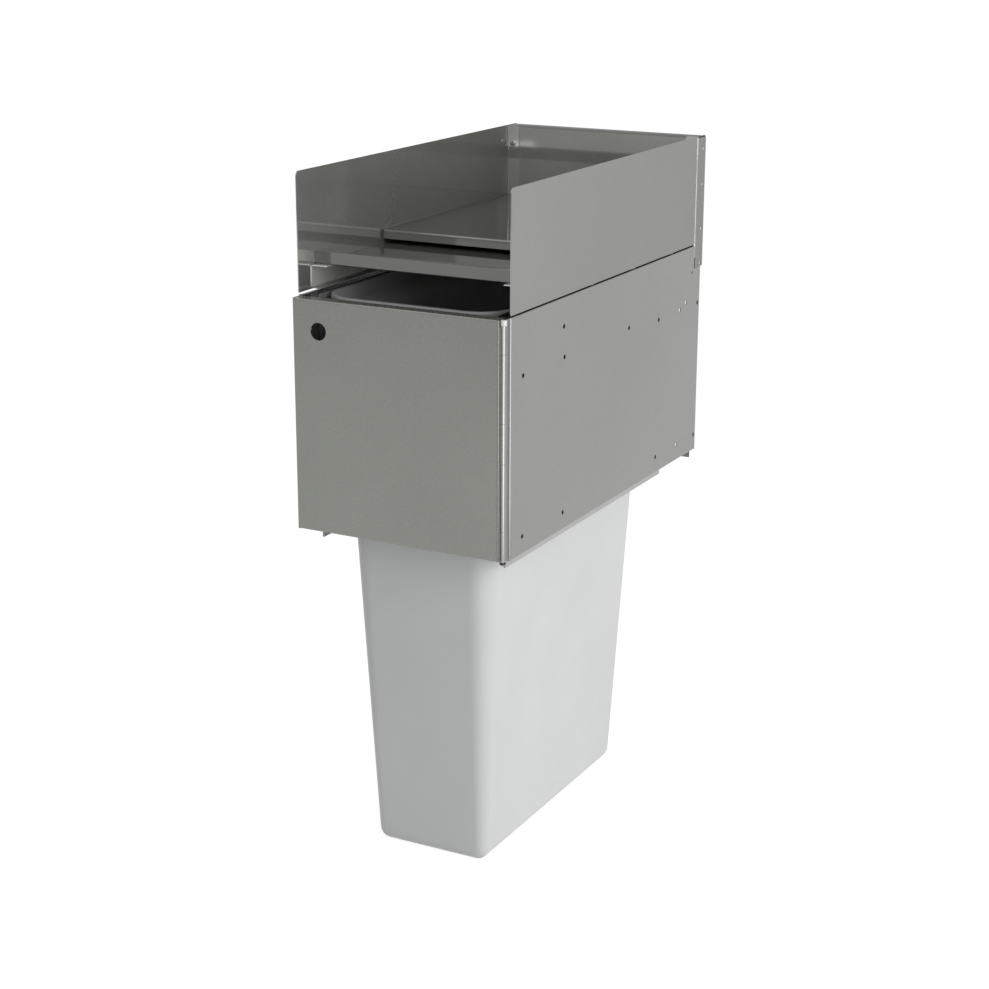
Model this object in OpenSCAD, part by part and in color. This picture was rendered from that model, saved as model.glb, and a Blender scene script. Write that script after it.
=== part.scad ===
// Underbar waste unit: a splash-backed work deck over a double-walled cabinet with a
// hinged door, and a tall tapered bin that hangs by its rim and reaches down to the floor.
// X is across the unit, -Y is the front with the door, +Z is up.
// The origin is the centre of the back face of the rear top rail.

/* [Overall] */
// Width over the side panels
unit_w = 305; // [300:1:320]
// Depth from the front edges of the side panels to the back face of the rear rail
unit_d = 600; // [580:1:640]
// Height of the side and back splashes above the split line
splash_h = 154; // [130:1:180]
// Height of the side panels of the cabinet
body_h = 310; // [300:1:340]
// Gap between the splashes and the side panels
split_gap = 2; // [1.5:0.1:2.5]
// Thickness of the stainless sheet
sheet_t = 1.2; // [1:0.1:1.5]
// Inner radius of the sheet's bends
bend_r = 1; // [0.8:0.1:1.4]

/* [Splashes] */
// Distance from the back rail's face to the front face of the back splash
back_inset = 24.5; // [22:0.1:27]
// Depth of the back splash's side returns, behind its front face
return_d = 29.5; // [28:0.1:34]
// Depth of the back splash's top return
top_return_d = 18.5; // [10:0.1:20]
// Length of the back splash's side returns below the split line
back_drop = 35; // [33:1:40]
// Length of the back splash's front face below the split line
face_drop = 20; // [14:1:26]
// Gap in front of the returns in the side panels' notches
notch_gap = 0.8; // [0.6:0.1:1.5]
// Gap below the returns in the side panels' notches
notch_low_gap = 0.2; // [0.1:0.1:0.6]
// Width of the side splashes' rear flanges
splash_flange_w = 19; // [16:0.5:22]
// Radius of the side splashes' front top corners
splash_corner_r = 6; // [3:0.5:10]
// Radius of the rear flanges' top corners
flange_corner_r = 4; // [2:0.5:6]
// Diameter of the holes in the returns
return_hole_d = 5; // [4:0.5:6]
// Distance from the back splash's front face to the return holes
return_hole_y = 21.5; // [16:0.1:24]
// Distance from the splashes' top edges to the uppermost return holes
return_hole_inset = 19; // [14:1:30]
// Pitch of the upper pair of return holes
return_pitch_upper = 51; // [45:1:56]
// Distance from the split line down to the lowest return hole
return_hole_drop = 30; // [24:1:31]
// Pitch of the lower pair of return holes
return_pitch_lower = 50; // [45:1:55]

/* [Deck] */
// Height of the deck's upper face above the split line
deck_z = 32.5; // [28:0.5:40]
// Distance from the front edges to the deck's front lip
deck_front = 38; // [30:1:60]
// Height of the deck's front lip above its upper face
deck_lip_h = 15.5; // [10:0.5:18]
// Height of the deck's rear upturn
deck_upturn_h = 12; // [8:1:14]
// Radius of the lip's upper corners
deck_corner_r = 4; // [2:0.5:6]
// Distance from the front edges to the shelf's front lip
shelf_front = 206; // [160:1:260]
// Height of the shelf's upper face above the deck
shelf_rise = 19; // [17:0.5:24]
// Height of the shelf's front lip
shelf_lip_h = 12.2; // [10:0.2:14]
// Side clearance of the lift-out shelf
shelf_gap = 0.8; // [0.6:0.1:1.2]
// Rear clearance of the lift-out shelf, wide enough to pass the screw heads
shelf_rear_gap = 2.2; // [1.8:0.1:4]
// Distance from the front edges to the deck brackets
bracket_front = 29; // [22:1:34]
// Width of the deck brackets' upper flanges
bracket_top_w = 24; // [16:1:26]
// Width of the deck brackets' lower flanges
bracket_foot_w = 13.5; // [12.5:0.5:16]
// Distance from the back splash to the rear ends of the brackets
bracket_rear_gap = 20; // [10:1:40]
// Height of the brackets' lower flanges above the split line
bracket_rise = 1.2; // [0.8:0.1:2]
// Diameter of the spacers between the brackets and the side panels
spacer_d = 10; // [8:0.5:10]

/* [Cabinet] */
// Width of the side panels' front and top flanges
front_flange_w = 18.8; // [17:0.2:22]
// Depth of the rearward return behind each front flange
front_return_d = 19; // [16:0.5:24]
// Width of the side panels' rear flanges
rear_flange_w = 15; // [10:0.5:18]
// Width of the side panels' bottom flanges
bottom_flange_w = 11; // [10:0.5:14]
// Distance from the front edges to the liners' front edges
liner_front = 8; // [5:0.5:12]
// Distance from the front edges to the rear liner
liner_rear = 545; // [540:1:560]
// Length of the liners' hemmed lips below the side panels
lip_drop = 17; // [12:1:20]
// Distance from the front edges to the rear ends of the lips
lip_rear = 505; // [440:1:520]
// Width of the rear liner's side flanges
rear_liner_flange_w = 14; // [10:1:20]
// Height of the rear top rail
rail_h = 50; // [46:1:60]
// Distance from the side panels' top edges to the rail
rail_drop = 3; // [2.5:0.5:6]
// Height of the rear bottom angle below the side panels
angle_drop = 14; // [10:1:18]
// Depth of the rear bottom angle's upper flange
angle_d = 22; // [15:1:30]
// Distance from the unit's sides to the ends of the rear bottom angle
angle_inset = 8; // [5:0.5:10]

// Distance from the front edges to the rails that carry the bin's rim
bin_rail_front = 70; // [62:1:90]
// Length of the bin rails
bin_rail_l = 410; // [300:5:430]
// Width of the bin rails' upper legs
bin_rail_w = 10.4; // [9:0.1:11]
// Height of the bin rails' upright legs
bin_rail_h = 20; // [14:1:30]

/* [Side holes] */
// Diameter of the side panels' holes
side_hole_d = 6.2; // [5:0.1:7]
// Distance from the front edges to the front bolt pattern
front_bolt_y = 33.5; // [30:0.5:40]
// Pitch of the front bolt pattern along the depth
front_bolt_dy = 116; // [100:1:130]
// Distance from the side panels' top edges to the front bolt pattern
front_bolt_drop = 78.4; // [70:0.2:84]
// Distance from the side panels' bottom edges up to the front bolt pattern
front_bolt_rise = 23.6; // [18:0.2:40]
// Distance from the front edges to the rear bolt pattern
rear_bolt_y = 451; // [430:1:470]
// Pitch of the rear bolt pattern along the depth
rear_bolt_dy = 76; // [66:1:84]
// Distance from the side panels' top edges to the rear bolt patterns
rear_bolt_drop = 86; // [80:1:90]
// Distance from the side panels' bottom edges up to the rear bolt patterns
rear_bolt_rise = 24; // [18:1:40]
// Distance from the rear edges of the side panels to the edge bolt holes
edge_bolt_inset = 8.6; // [7:0.1:10]
// Distance from the front edges to the first cross-tie hole
tie_hole_y = 349.4; // [330:0.2:370]
// Pitch of the cross-tie holes
tie_hole_dy = 199; // [190:1:204]
// Distance from the front edges to the upper hole
upper_hole_y = 147; // [130:1:160]
// Distance from the side panels' top edges to the upper holes
upper_hole_drop = 38; // [36:0.5:44]
// Distance from the front edges to the pilot hole near the notch
pilot_hole_y = 568; // [550:1:580]
// Distance from the side panels' top edges to the pilot hole
pilot_hole_drop = 38; // [37:0.5:44]
// Diameter of the pilot hole
pilot_hole_d = 4; // [3:0.1:4.5]

/* [Door] */
// Distance from the unit's left side to the door's left edge
door_left_gap = 3.5; // [2:0.5:5]
// Distance from the unit's right side to the door's right edge
door_right_gap = 5.7; // [5.7:0.1:7]
// Depth of the door, front face to back face
door_t = 18; // [17:0.5:22]
// Gap between the door's back and the side panels' front flanges
door_gap = 2; // [1.8:0.1:2.6]
// Distance from the side panels' top edges to the door's top edge
door_top_gap = 0.5; // [0.4:0.1:1.5]
// Distance from the door's bottom edge up from the side panels' bottom edges
door_bottom_gap = 4; // [3:0.5:12]
// Diameter of the finger hole
finger_hole_d = 23; // [20:0.5:28]
// Distance from the door's left edge to the finger hole's centre
finger_hole_x = 38.2; // [34:0.2:45]
// Distance from the door's top edge to the finger hole's centre
finger_hole_drop = 40; // [34:0.5:50]
// Width and height of the cut-out in the door's back panel behind the finger hole
finger_well_w = 62; // [52:1:66]

/* [Hinge] */
// Outer diameter of the hinge's knuckles
knuckle_d = 5.4; // [5:0.1:5.8]
// Diameter of the hinge pin
pin_d = 2.8; // [2.4:0.1:3]
// Radial clearance of the hinge pin in the knuckles
pin_play = 0.05; // [0.03:0.01:0.08]
// Thickness of the hinge's leaves
leaf_t = 1; // [0.8:0.1:1.1]
// Distance from the unit's right side to the body leaf's outer face
leaf_inset = 1.2; // [1:0.1:1.3]
// Distance from the door's front face to the hinge axis
axis_y = 6; // [5.5:0.1:7]
// Radial clearance round a knuckle that turns past the other leaf
knuckle_play = 0.3; // [0.25:0.05:0.5]
// Distance the lowest knuckle reaches below the door
knuckle_drop = 1.5; // [1:0.1:3]
// Gap between two knuckles
knuckle_gap = 0.4; // [0.3:0.05:0.6]
// Diameter of the caps at both ends of the hinge
cap_d = 8; // [7.2:0.1:8.4]
// Height of the upper cap
cap_h = 7.4; // [5:0.1:9]
// Height of the lower washer
washer_h = 2.4; // [1.8:0.1:3]
// Length of pin that shows below the washer
pin_tip = 2.2; // [1:0.1:4]

/* [Catch] */
// Width of the catch's magnet
magnet_w = 9; // [8:0.5:10]
// Depth of the catch's magnet
magnet_d = 5; // [4:0.5:6]
// Height of the catch's magnet
magnet_h = 50; // [40:1:70]
// Wall of the magnet's case
case_t = 1; // [0.8:0.1:1.2]
// Thickness of the strike plate on the door
strike_t = 1; // [0.8:0.1:1.2]
// Diameter of the door's bumpers
bumper_d = 8; // [6:0.5:10]
// Distance from the door's ends to the bumpers
bumper_inset = 22; // [15:1:40]

/* [Bin] */
// Height of the bin
bin_h = 771; // [720:1:790]
// Distance from the split line down to the bin's rim
bin_top_drop = 3; // [3:0.5:6]
// Clearance between the bin's rim and the front flanges' inner edges
bin_side_gap = 0.7; // [0.5:0.1:3]
// Distance from the front edges to the bin's rim
bin_rim_front = 7.5; // [5:0.5:10]
// Length over the bin's rim
bin_rim_l = 524; // [500:1:530]
// Depth of the rim's skirt
bin_skirt_h = 17; // [12:1:24]
// Width of the rim beyond the bin's side walls
bin_rim_side = 8; // [7:0.1:10]
// Width of the rim beyond the bin's front and rear walls
bin_rim_end = 6.5; // [6:0.5:10]
// Corner radius of the rim
bin_rim_r = 56; // [48:1:62]
// Flare of the bin's side walls below the rim
bin_flare = 3.6; // [2:0.2:6]
// Height of the flare
bin_flare_h = 60; // [40:1:90]
// Draft of each side wall, below the flare
bin_side_draft = 38.4; // [30:0.2:44]
// Draft of the front wall
bin_front_draft = 46.4; // [38:0.2:56]
// Draft of the rear wall
bin_rear_draft = 57.5; // [46:0.5:66]
// Corner radius of the wall at the rim
bin_corner_top = 44; // [36:1:52]
// Corner radius of the wall at the base
bin_corner_base = 14; // [10:0.5:20]
// Radius of the bin's bottom edge
bin_foot_r = 17; // [8:0.5:18]
// Thickness of the bin's walls
bin_wall_t = 2.5; // [2:0.1:3.5]

/* [Fasteners] */
// Diameter of the dome-headed screws' heads
screw_head_d = 10; // [8:0.2:11]
// Height of the dome-headed screws' heads
screw_head_h = 2.2; // [1.8:0.1:3]
// Diameter of the screws' shanks
screw_d = 4; // [3:0.2:4.4]
// Length of the screws' shanks
screw_l = 8; // [6:0.5:9]
// Distance from the side splashes to the screws in their rear flanges
screw_inset = 8.6; // [8:0.1:10]
// Distance from the splashes' top edges to the upper screws
screw_top_inset = 26; // [16:1:34]
// Distance from the split line up to the lower screws, under the deck
screw_low_rise = 15; // [10:1:18]
// Diameter of the rivets' heads
rivet_head_d = 6; // [5:0.2:7]
// Height of the rivets' heads
rivet_head_h = 0.9; // [0.7:0.1:1]
// Diameter of the rivets' shanks
rivet_d = 3.2; // [2.8:0.1:3.6]

/* [Hidden] */
$fn = 48;
// Overrun of the cuts
cut = 1;
bend_steps = 6;
mid_r = bend_r + sheet_t / 2;
fold = bend_r + sheet_t;
half_t = sheet_t / 2;

// Levels and planes that the pieces share
half_w = unit_w / 2;
front = -unit_d;
body_top = rail_h / 2 + rail_drop;
body_bottom = body_top - body_h;
split_z = body_top + split_gap;
splash_top = split_z + splash_h;
inner_w = half_w - sheet_t;
splash_screws_z = [splash_top - screw_top_inset, split_z + screw_low_rise];
back_face = -back_inset;
splash_rear = back_face - sheet_t;
deck_top = split_z + deck_z;
deck_under = deck_top - sheet_t;
shelf_top = deck_top + shelf_rise;
flange_in = half_w - front_flange_w;
liner_out = flange_in + sheet_t;
return_low = split_z - back_drop;

// Outline of a bent sheet: places on its middle line, with right-angled bends
function unit_of(v) = v / norm(v);
function left_of(v) = [-v[1], v[0]];
function turn_of(a, b) = sign(a[0] * b[1] - a[1] * b[0]);
function end_item(p, d) = [[p, left_of(d)]];
function bend_items(p, d0, d1, r) =
    let (n = left_of(d0) * turn_of(d0, d1), c = p - d0 * r + n * r)
    [for (k = [0:bend_steps]) let (a = 90 * k / bend_steps)
        [c + (d0 * sin(a) - n * cos(a)) * r, left_of(d0 * cos(a) + n * sin(a))]];
function path_items(p, r) =
    let (m = len(p) - 1, d = [for (i = [0:m - 1]) unit_of(p[i + 1] - p[i])])
    concat(end_item(p[0], d[0]),
        [for (i = [1:1:m - 1]) each bend_items(p[i], d[i - 1], d[i], r)],
        end_item(p[m], d[m - 1]));
function sheet_outline(p, t, r) =
    let (q = path_items(p, r), m = len(q) - 1)
    concat([for (e = q) e[0] + e[1] * t / 2],
        [for (i = [0:m]) q[m - i][0] - q[m - i][1] * t / 2]);

module bent_sheet(p, t = sheet_t, r = mid_r) {
    polygon(sheet_outline(p, t, r));
}
// A profile drawn in plan, standing from z0 to z1
module standing(z0, z1) {
    translate([0, 0, z0]) linear_extrude(z1 - z0) children();
}
// A profile drawn across the width and the height, running along Y from y0 to y1
module lengthways(y0, y1) {
    translate([0, y1, 0]) rotate([90, 0, 0]) linear_extrude(y1 - y0) children();
}
// A profile drawn along the depth and the height, running along X from x0 to x1
module crossways(x0, x1) {
    translate([x0, 0, 0]) rotate([90, 0, 90]) linear_extrude(x1 - x0) children();
}
module box(a, b) {
    translate(a) cube(b - a);
}
module mirrored(side) {
    if (side < 0) mirror([1, 0, 0]) children();
    else children();
}
module hole_along_x(d, y, z, x0, x1) {
    translate([x0, y, z]) rotate([0, 90, 0]) cylinder(d = d, h = x1 - x0);
}
module hole_along_y(d, x, z, y0, y1) {
    translate([x, y1, z]) rotate([90, 0, 0]) cylinder(d = d, h = y1 - y0);
}
// What rounds a square corner off: a square less a quarter disc, with its corner at the origin
module corner_waste(r) {
    difference() {
        translate([-cut, -cut]) square(r + cut);
        translate([r, r]) circle(r);
    }
}

// Splashes and deck

module side_splash() {
    x = half_w - half_t;
    difference() {
        standing(split_z, splash_top)
            bent_sheet([[x, front], [x, splash_rear + half_t], [half_w - splash_flange_w, splash_rear + half_t]]);
        translate([inner_w - cut, front, splash_top]) rotate([90, 90, 90])
            linear_extrude(sheet_t + 2 * cut) corner_waste(splash_corner_r);
        translate([half_w - splash_flange_w, splash_rear + sheet_t + cut, splash_top]) rotate([90, 90, 0])
            linear_extrude(sheet_t + 2 * cut) corner_waste(flange_corner_r);
        for (z = splash_screws_z)
            hole_along_y(screw_d, half_w - screw_inset, z, splash_rear - cut, back_face + cut);
    }
}
module left_splash() {
    color([0.55, 0.55, 0.54]) mirrored(-1) side_splash();
}
module right_splash() {
    color([0.61, 0.61, 0.6]) side_splash();
}

return_hole_top = splash_h - return_hole_inset;
return_holes_z = [return_hole_top, return_hole_top - return_pitch_upper,
    return_pitch_lower - return_hole_drop, -return_hole_drop];

module back_splash() {
    x = half_w - half_t;
    y = back_face + half_t;
    rear = back_face + return_d;
    color([0.5, 0.5, 0.49]) difference() {
        union() {
            difference() {
                standing(return_low, splash_top)
                    bent_sheet([[x, rear], [x, y], [-x, y], [-x, rear]]);
                box([-inner_w + bend_r, back_face - cut, splash_top - fold],
                    [inner_w - bend_r, back_face + fold, splash_top + cut]);
                box([-half_w - cut, back_face - cut, return_low - cut],
                    [half_w + cut, back_face + fold, split_z - face_drop]);
            }
            crossways(-inner_w + bend_r, inner_w - bend_r)
                bent_sheet([[y, splash_top - fold], [y, splash_top - half_t],
                    [back_face + top_return_d, splash_top - half_t]]);
        }
        for (side = [-1, 1]) {
            for (z = return_holes_z)
                mirrored(side) hole_along_x(return_hole_d, back_face + return_hole_y, split_z + z,
                    inner_w - cut, half_w + cut);
            for (z = splash_screws_z)
                mirrored(side) hole_along_y(screw_d, half_w - screw_inset, z,
                    back_face - cut, back_face + sheet_t + cut);
            mirrored(side) translate([inner_w - cut, rear, splash_top]) rotate([0, 90, 0])
                linear_extrude(sheet_t + 2 * cut) rotate(-90) corner_waste(splash_corner_r);
        }
    }
}

module deck_pan() {
    y = front + deck_front + half_t;
    end = splash_rear - half_t;
    lip_top = deck_top + deck_lip_h;
    color([0.6, 0.6, 0.59]) difference() {
        crossways(-inner_w, inner_w)
            bent_sheet([[y, lip_top], [y, deck_top - half_t], [end, deck_top - half_t],
                [end, deck_top + deck_upturn_h]]);
        for (side = [-1, 1]) {
            mirrored(side) translate([-inner_w, y + half_t + cut, lip_top]) rotate([90, 90, 0])
                linear_extrude(sheet_t + 2 * cut) corner_waste(deck_corner_r);
            mirrored(side) box([inner_w - fold, splash_rear - fold, deck_under - cut],
                [inner_w + cut, splash_rear + cut, lip_top]);
        }
    }
}

module raised_shelf() {
    y = front + shelf_front + half_t;
    end = splash_rear - sheet_t - shelf_rear_gap - half_t;
    x = inner_w - shelf_gap - half_t;
    top = shelf_top - half_t;
    color([0.58, 0.58, 0.57]) union() {
        crossways(-x + mid_r, x - mid_r)
            bent_sheet([[y, shelf_top - shelf_lip_h], [y, top], [end, top], [end, deck_top + fold]]);
        for (side = [-1, 1])
            mirrored(side) lengthways(y + mid_r, end - mid_r)
                bent_sheet([[x, deck_top], [x, top], [x - fold - mid_r, top]]);
    }
}

module deck_bracket() {
    x = inner_w - half_t;
    color([0.66, 0.66, 0.65]) difference() {
        lengthways(front + bracket_front, back_face - bracket_rear_gap)
            bent_sheet([[inner_w - bracket_top_w, deck_under - half_t], [x, deck_under - half_t],
                [x, flange_z + half_t], [inner_w - bracket_foot_w, flange_z + half_t]]);
        for (y = bracket_screws_y)
            translate([bracket_screw_x, y, flange_z - cut]) cylinder(d = screw_d, h = sheet_t + 2 * cut);
    }
}
module left_deck_bracket() {
    mirrored(-1) deck_bracket();
}
module right_deck_bracket() {
    deck_bracket();
}

// Screws and rivets

flange_z = split_z + bracket_rise;
bracket_screw_x = inner_w - fold - screw_head_d / 2;
bracket_screw_shares = [0.4, 0.65, 0.9];
bracket_screws_y = [for (s = bracket_screw_shares)
    front + bracket_front + s * (unit_d - back_inset - bracket_rear_gap - bracket_front)];

// A dome-headed screw that points along -Z, with the underside of its head at the origin
module dome_screw(l) {
    head_r = screw_head_d / 2;
    dome_r = (head_r * head_r + screw_head_h * screw_head_h) / (2 * screw_head_h);
    intersection() {
        translate([0, 0, screw_head_h - dome_r]) sphere(dome_r);
        cylinder(r = head_r, h = screw_head_h);
    }
    translate([0, 0, -l]) cylinder(d = screw_d, h = l);
}
module splash_screws() {
    color([0.7, 0.7, 0.69]) for (side = [-1, 1], z = splash_screws_z)
        mirrored(side) translate([half_w - screw_inset, splash_rear, z])
            rotate([90, 0, 0]) dome_screw(screw_l);
}
module bracket_screws() {
    color([0.6, 0.6, 0.59]) for (side = [-1, 1], y = bracket_screws_y)
        mirrored(side) translate([bracket_screw_x, y, flange_z + sheet_t]) dome_screw(screw_l);
}
module bracket_spacers() {
    color([0.6, 0.6, 0.59]) for (side = [-1, 1], y = bracket_screws_y)
        mirrored(side) translate([bracket_screw_x, y, body_top]) linear_extrude(flange_z - body_top)
            difference() {
                circle(d = spacer_d);
                circle(d = screw_d);
            }
}
// A rivet that points along -Z, with a head at each side of a grip
module rivet(grip) {
    cylinder(d = rivet_head_d, h = rivet_head_h);
    translate([0, 0, -grip]) cylinder(d = rivet_d, h = grip);
    translate([0, 0, -grip - rivet_head_h]) cylinder(d = (rivet_d + rivet_head_d) / 2, h = rivet_head_h);
}

// Cabinet

front_bolt_dz = body_h - front_bolt_drop - front_bolt_rise;
rear_bolt_dz = body_h - rear_bolt_drop - rear_bolt_rise;
side_holes = concat(
    [for (dy = [0, front_bolt_dy], dz = [0, front_bolt_dz]) [front_bolt_y + dy, front_bolt_drop + dz]],
    [for (dy = [0, rear_bolt_dy], dz = [0, rear_bolt_dz]) [rear_bolt_y + dy, rear_bolt_drop + dz]],
    [for (dz = [0, rear_bolt_dz]) [unit_d - edge_bolt_inset, rear_bolt_drop + dz]],
    [for (dy = [0, tie_hole_dy]) [tie_hole_y + dy, front_bolt_drop]],
    [[upper_hole_y, upper_hole_drop]]);

module side_panel() {
    x = half_w - half_t;
    x_in = flange_in + half_t;
    notch_z = return_low - notch_low_gap;
    notch_y = back_face - notch_gap;
    difference() {
        union() {
            difference() {
                standing(body_bottom, body_top)
                    bent_sheet([[x_in, front + front_return_d], [x_in, front + half_t],
                        [x, front + half_t], [x, -half_t], [half_w - rear_flange_w, -half_t]]);
                for (z = [body_top - fold, body_bottom - cut])
                    box([inner_w - bend_r, front + fold, z], [half_w + cut, -fold, z + fold + cut]);
            }
            lengthways(front + fold, notch_y)
                bent_sheet([[x, body_top - fold], [x, body_top - half_t], [flange_in, body_top - half_t]]);
            lengthways(front + fold, -fold)
                bent_sheet([[x, body_bottom + fold], [x, body_bottom + half_t],
                    [half_w - bottom_flange_w, body_bottom + half_t]]);
        }
        box([inner_w - cut, notch_y, notch_z], [half_w + cut, cut, body_top + cut]);
        box([flange_in, -fold - cut, -rail_h / 2 - split_gap / 2],
            [inner_w - bend_r, cut, body_top + cut]);
        for (h = side_holes)
            hole_along_x(side_hole_d, front + h[0], body_top - h[1], inner_w - cut, half_w + cut);
        hole_along_x(pilot_hole_d, front + pilot_hole_y, body_top - pilot_hole_drop, inner_w - cut,
            half_w + cut);
        for (y = bracket_screws_y)
            translate([bracket_screw_x, y, body_top - sheet_t - cut])
                cylinder(d = screw_d, h = sheet_t + 2 * cut);
        for (z = liner_rivets_z)
            hole_along_x(rivet_d, rivet_y, z, flange_in - cut, liner_out + cut);
    }
}
module left_side_panel() {
    color([0.55, 0.55, 0.54]) mirrored(-1) side_panel();
}
module right_side_panel() {
    color([0.61, 0.61, 0.6]) side_panel();
}

liner_rivet_shares = [0.2, 0.5, 0.8];
liner_rivets_z = [for (s = liner_rivet_shares) body_top - s * body_h];
rivet_y = front + (liner_front + front_return_d) / 2;

module side_liner() {
    rear = front + liner_rear + sheet_t;
    lip_bottom = body_bottom - lip_drop;
    difference() {
        union() {
            box([liner_out, front + liner_front, body_bottom - split_gap],
                [liner_out + sheet_t, rear, body_top - sheet_t]);
            box([liner_out, front + front_return_d, lip_bottom],
                [liner_out + sheet_t, front + lip_rear, body_bottom]);
            box([flange_in, front + front_return_d, lip_bottom],
                [liner_out + half_t, front + lip_rear, body_bottom - split_gap]);
        }
        for (z = liner_rivets_z)
            hole_along_x(rivet_d, rivet_y, z, liner_out - cut, liner_out + sheet_t + cut);
    }
}
module left_liner() {
    color([0.45, 0.45, 0.44]) mirrored(-1) side_liner();
}
module right_liner() {
    color([0.45, 0.45, 0.44]) side_liner();
}
module rear_liner() {
    x = liner_out - half_t;
    y = front + liner_rear - half_t;
    color([0.4, 0.4, 0.39]) standing(body_bottom, body_top - sheet_t)
        bent_sheet([[x, y - rear_liner_flange_w], [x, y], [-x, y], [-x, y - rear_liner_flange_w]]);
}
module liner_rivets() {
    color([0.62, 0.62, 0.61]) for (side = [-1, 1], z = liner_rivets_z)
        mirrored(side) translate([flange_in, rivet_y, z]) rotate([0, -90, 0]) rivet(2 * sheet_t);
}
module bin_rail() {
    x = liner_out - half_t;
    z = bin_top - bin_skirt_h - half_t;
    lengthways(front + bin_rail_front, front + bin_rail_front + bin_rail_l)
        bent_sheet([[x, z - bin_rail_h], [x, z], [liner_out - bin_rail_w, z]]);
}
module left_bin_rail() {
    color([0.6, 0.6, 0.59]) mirrored(-1) bin_rail();
}
module right_bin_rail() {
    color([0.6, 0.6, 0.59]) bin_rail();
}
module rear_top_rail() {
    top = rail_h / 2 - half_t;
    fore = back_face + sheet_t;
    color([0.5, 0.5, 0.49]) crossways(-inner_w + bend_r, inner_w - bend_r)
        bent_sheet([[fore, top], [-half_t, top], [-half_t, -top], [fore, -top]]);
}
module rear_bottom_angle() {
    y = -sheet_t - half_t;
    z = body_bottom - half_t;
    color([0.62, 0.62, 0.6]) crossways(-half_w + angle_inset, half_w - angle_inset)
        bent_sheet([[-angle_d, z], [y, z], [y, body_bottom - angle_drop]]);
}

// Door

door_x0 = -half_w + door_left_gap;
door_x1 = half_w - door_right_gap;
door_back = front - door_gap;
door_face = door_back - door_t;
door_z1 = body_top - door_top_gap;
door_z0 = body_bottom + door_bottom_gap;
axis_x = half_w - knuckle_d / 2;
axis_at = [axis_x, door_face + axis_y];
swing_r = knuckle_d / 2 + knuckle_play;
cap_r = cap_d / 2 + 2 * knuckle_play;

// Knuckles as shares of the door's height, from the top: door, body, door, body, door
knuckle_shares = [0, 0.117, 0.406, 0.577, 0.866, 1];
knuckle_top = door_z1 - cap_h;
knuckle_bottom = door_z0 - knuckle_drop;
function knuckle_z(i) = knuckle_top - knuckle_shares[i] * (knuckle_top - knuckle_bottom);
module at_knuckles(first, grow) {
    for (i = [first:2:4])
        standing(knuckle_z(i + 1) + knuckle_gap / 2 - grow, knuckle_z(i) - knuckle_gap / 2 + grow)
            children();
}
module swing_room() {
    translate(axis_at) circle(swing_r);
}

module door_skin() {
    edge = fold + bend_r;
    color([0.53, 0.54, 0.51]) difference() {
        union() {
            difference() {
                standing(door_z0, door_z1)
                    bent_sheet([[door_x0 + half_t, door_back], [door_x0 + half_t, door_face + half_t],
                        [door_x1 - half_t, door_face + half_t], [door_x1 - half_t, door_back]]);
                for (z = [door_z1 - fold, door_z0 - cut])
                    box([door_x0 + edge, door_face - cut, z], [door_x1 - edge, door_face + fold, z + fold + cut]);
            }
            crossways(door_x0 + edge, door_x1 - edge) {
                bent_sheet([[door_face + half_t, door_z1 - fold], [door_face + half_t, door_z1 - half_t],
                    [door_back, door_z1 - half_t]]);
                bent_sheet([[door_face + half_t, door_z0 + fold], [door_face + half_t, door_z0 + half_t],
                    [door_back, door_z0 + half_t]]);
            }
        }
        hole_along_y(finger_hole_d, door_x0 + finger_hole_x, door_z1 - finger_hole_drop,
            door_face - cut, door_face + sheet_t + cut);
        standing(knuckle_top - knuckle_gap, door_z1 + cut) translate(axis_at) circle(cap_r);
    }
}

module door_back_panel() {
    x0 = door_x0 + sheet_t;
    x1 = door_x1 - sheet_t;
    z1 = door_z1 - sheet_t;
    well_x = door_x0 + finger_hole_x;
    well_z = door_z1 - finger_hole_drop;
    color([0.55, 0.55, 0.54]) difference() {
        box([x0, door_back - sheet_t, door_z0 + sheet_t], [x1, door_back, z1]);
        box([well_x - finger_well_w / 2, door_back - sheet_t - cut, well_z - finger_well_w / 2],
            [well_x + finger_well_w / 2, door_back + cut, well_z + finger_well_w / 2]);
        for (z = strike_rivets_z)
            hole_along_y(rivet_d, strike_x, z, door_back - sheet_t - cut, door_back + cut);
    }
}

// The leaf on the door's right return, with three knuckles
module door_hinge_leaf() {
    y0 = door_face + fold;
    y1 = door_back - sheet_t;
    color([0.7, 0.7, 0.69]) difference() {
        union() {
            box([door_x1, y0, door_z0], [door_x1 + leaf_t, y1, knuckle_top - knuckle_gap]);
            at_knuckles(0, 0) translate(axis_at) circle(d = knuckle_d);
        }
        at_knuckles(1, knuckle_gap) swing_room();
        standing(knuckle_bottom, knuckle_top) translate(axis_at) circle(d = pin_d + 2 * pin_play);
    }
}

// The leaf on the right side panel's front flange, with two knuckles staked to the pin
module body_hinge_leaf() {
    x = half_w - leaf_inset - leaf_t / 2;
    color([0.75, 0.75, 0.73]) difference() {
        union() {
            standing(knuckle_bottom + knuckle_gap, door_z1)
                bent_sheet([[x, axis_at[1]], [x, front - leaf_t / 2], [flange_in + bend_r, front - leaf_t / 2]],
                    leaf_t, leaf_t);
            at_knuckles(1, 0) translate(axis_at) circle(d = knuckle_d);
        }
        at_knuckles(0, knuckle_gap) swing_room();
        standing(knuckle_top - knuckle_gap, door_z1 + cut) translate(axis_at) circle(cap_r);
        standing(knuckle_bottom, knuckle_top) translate(axis_at) circle(d = pin_d);
    }
}
module hinge_pin() {
    color([0.85, 0.85, 0.83])
        standing(knuckle_bottom - washer_h - pin_tip, door_z1 - sheet_t) translate(axis_at) circle(d = pin_d);
}
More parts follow.
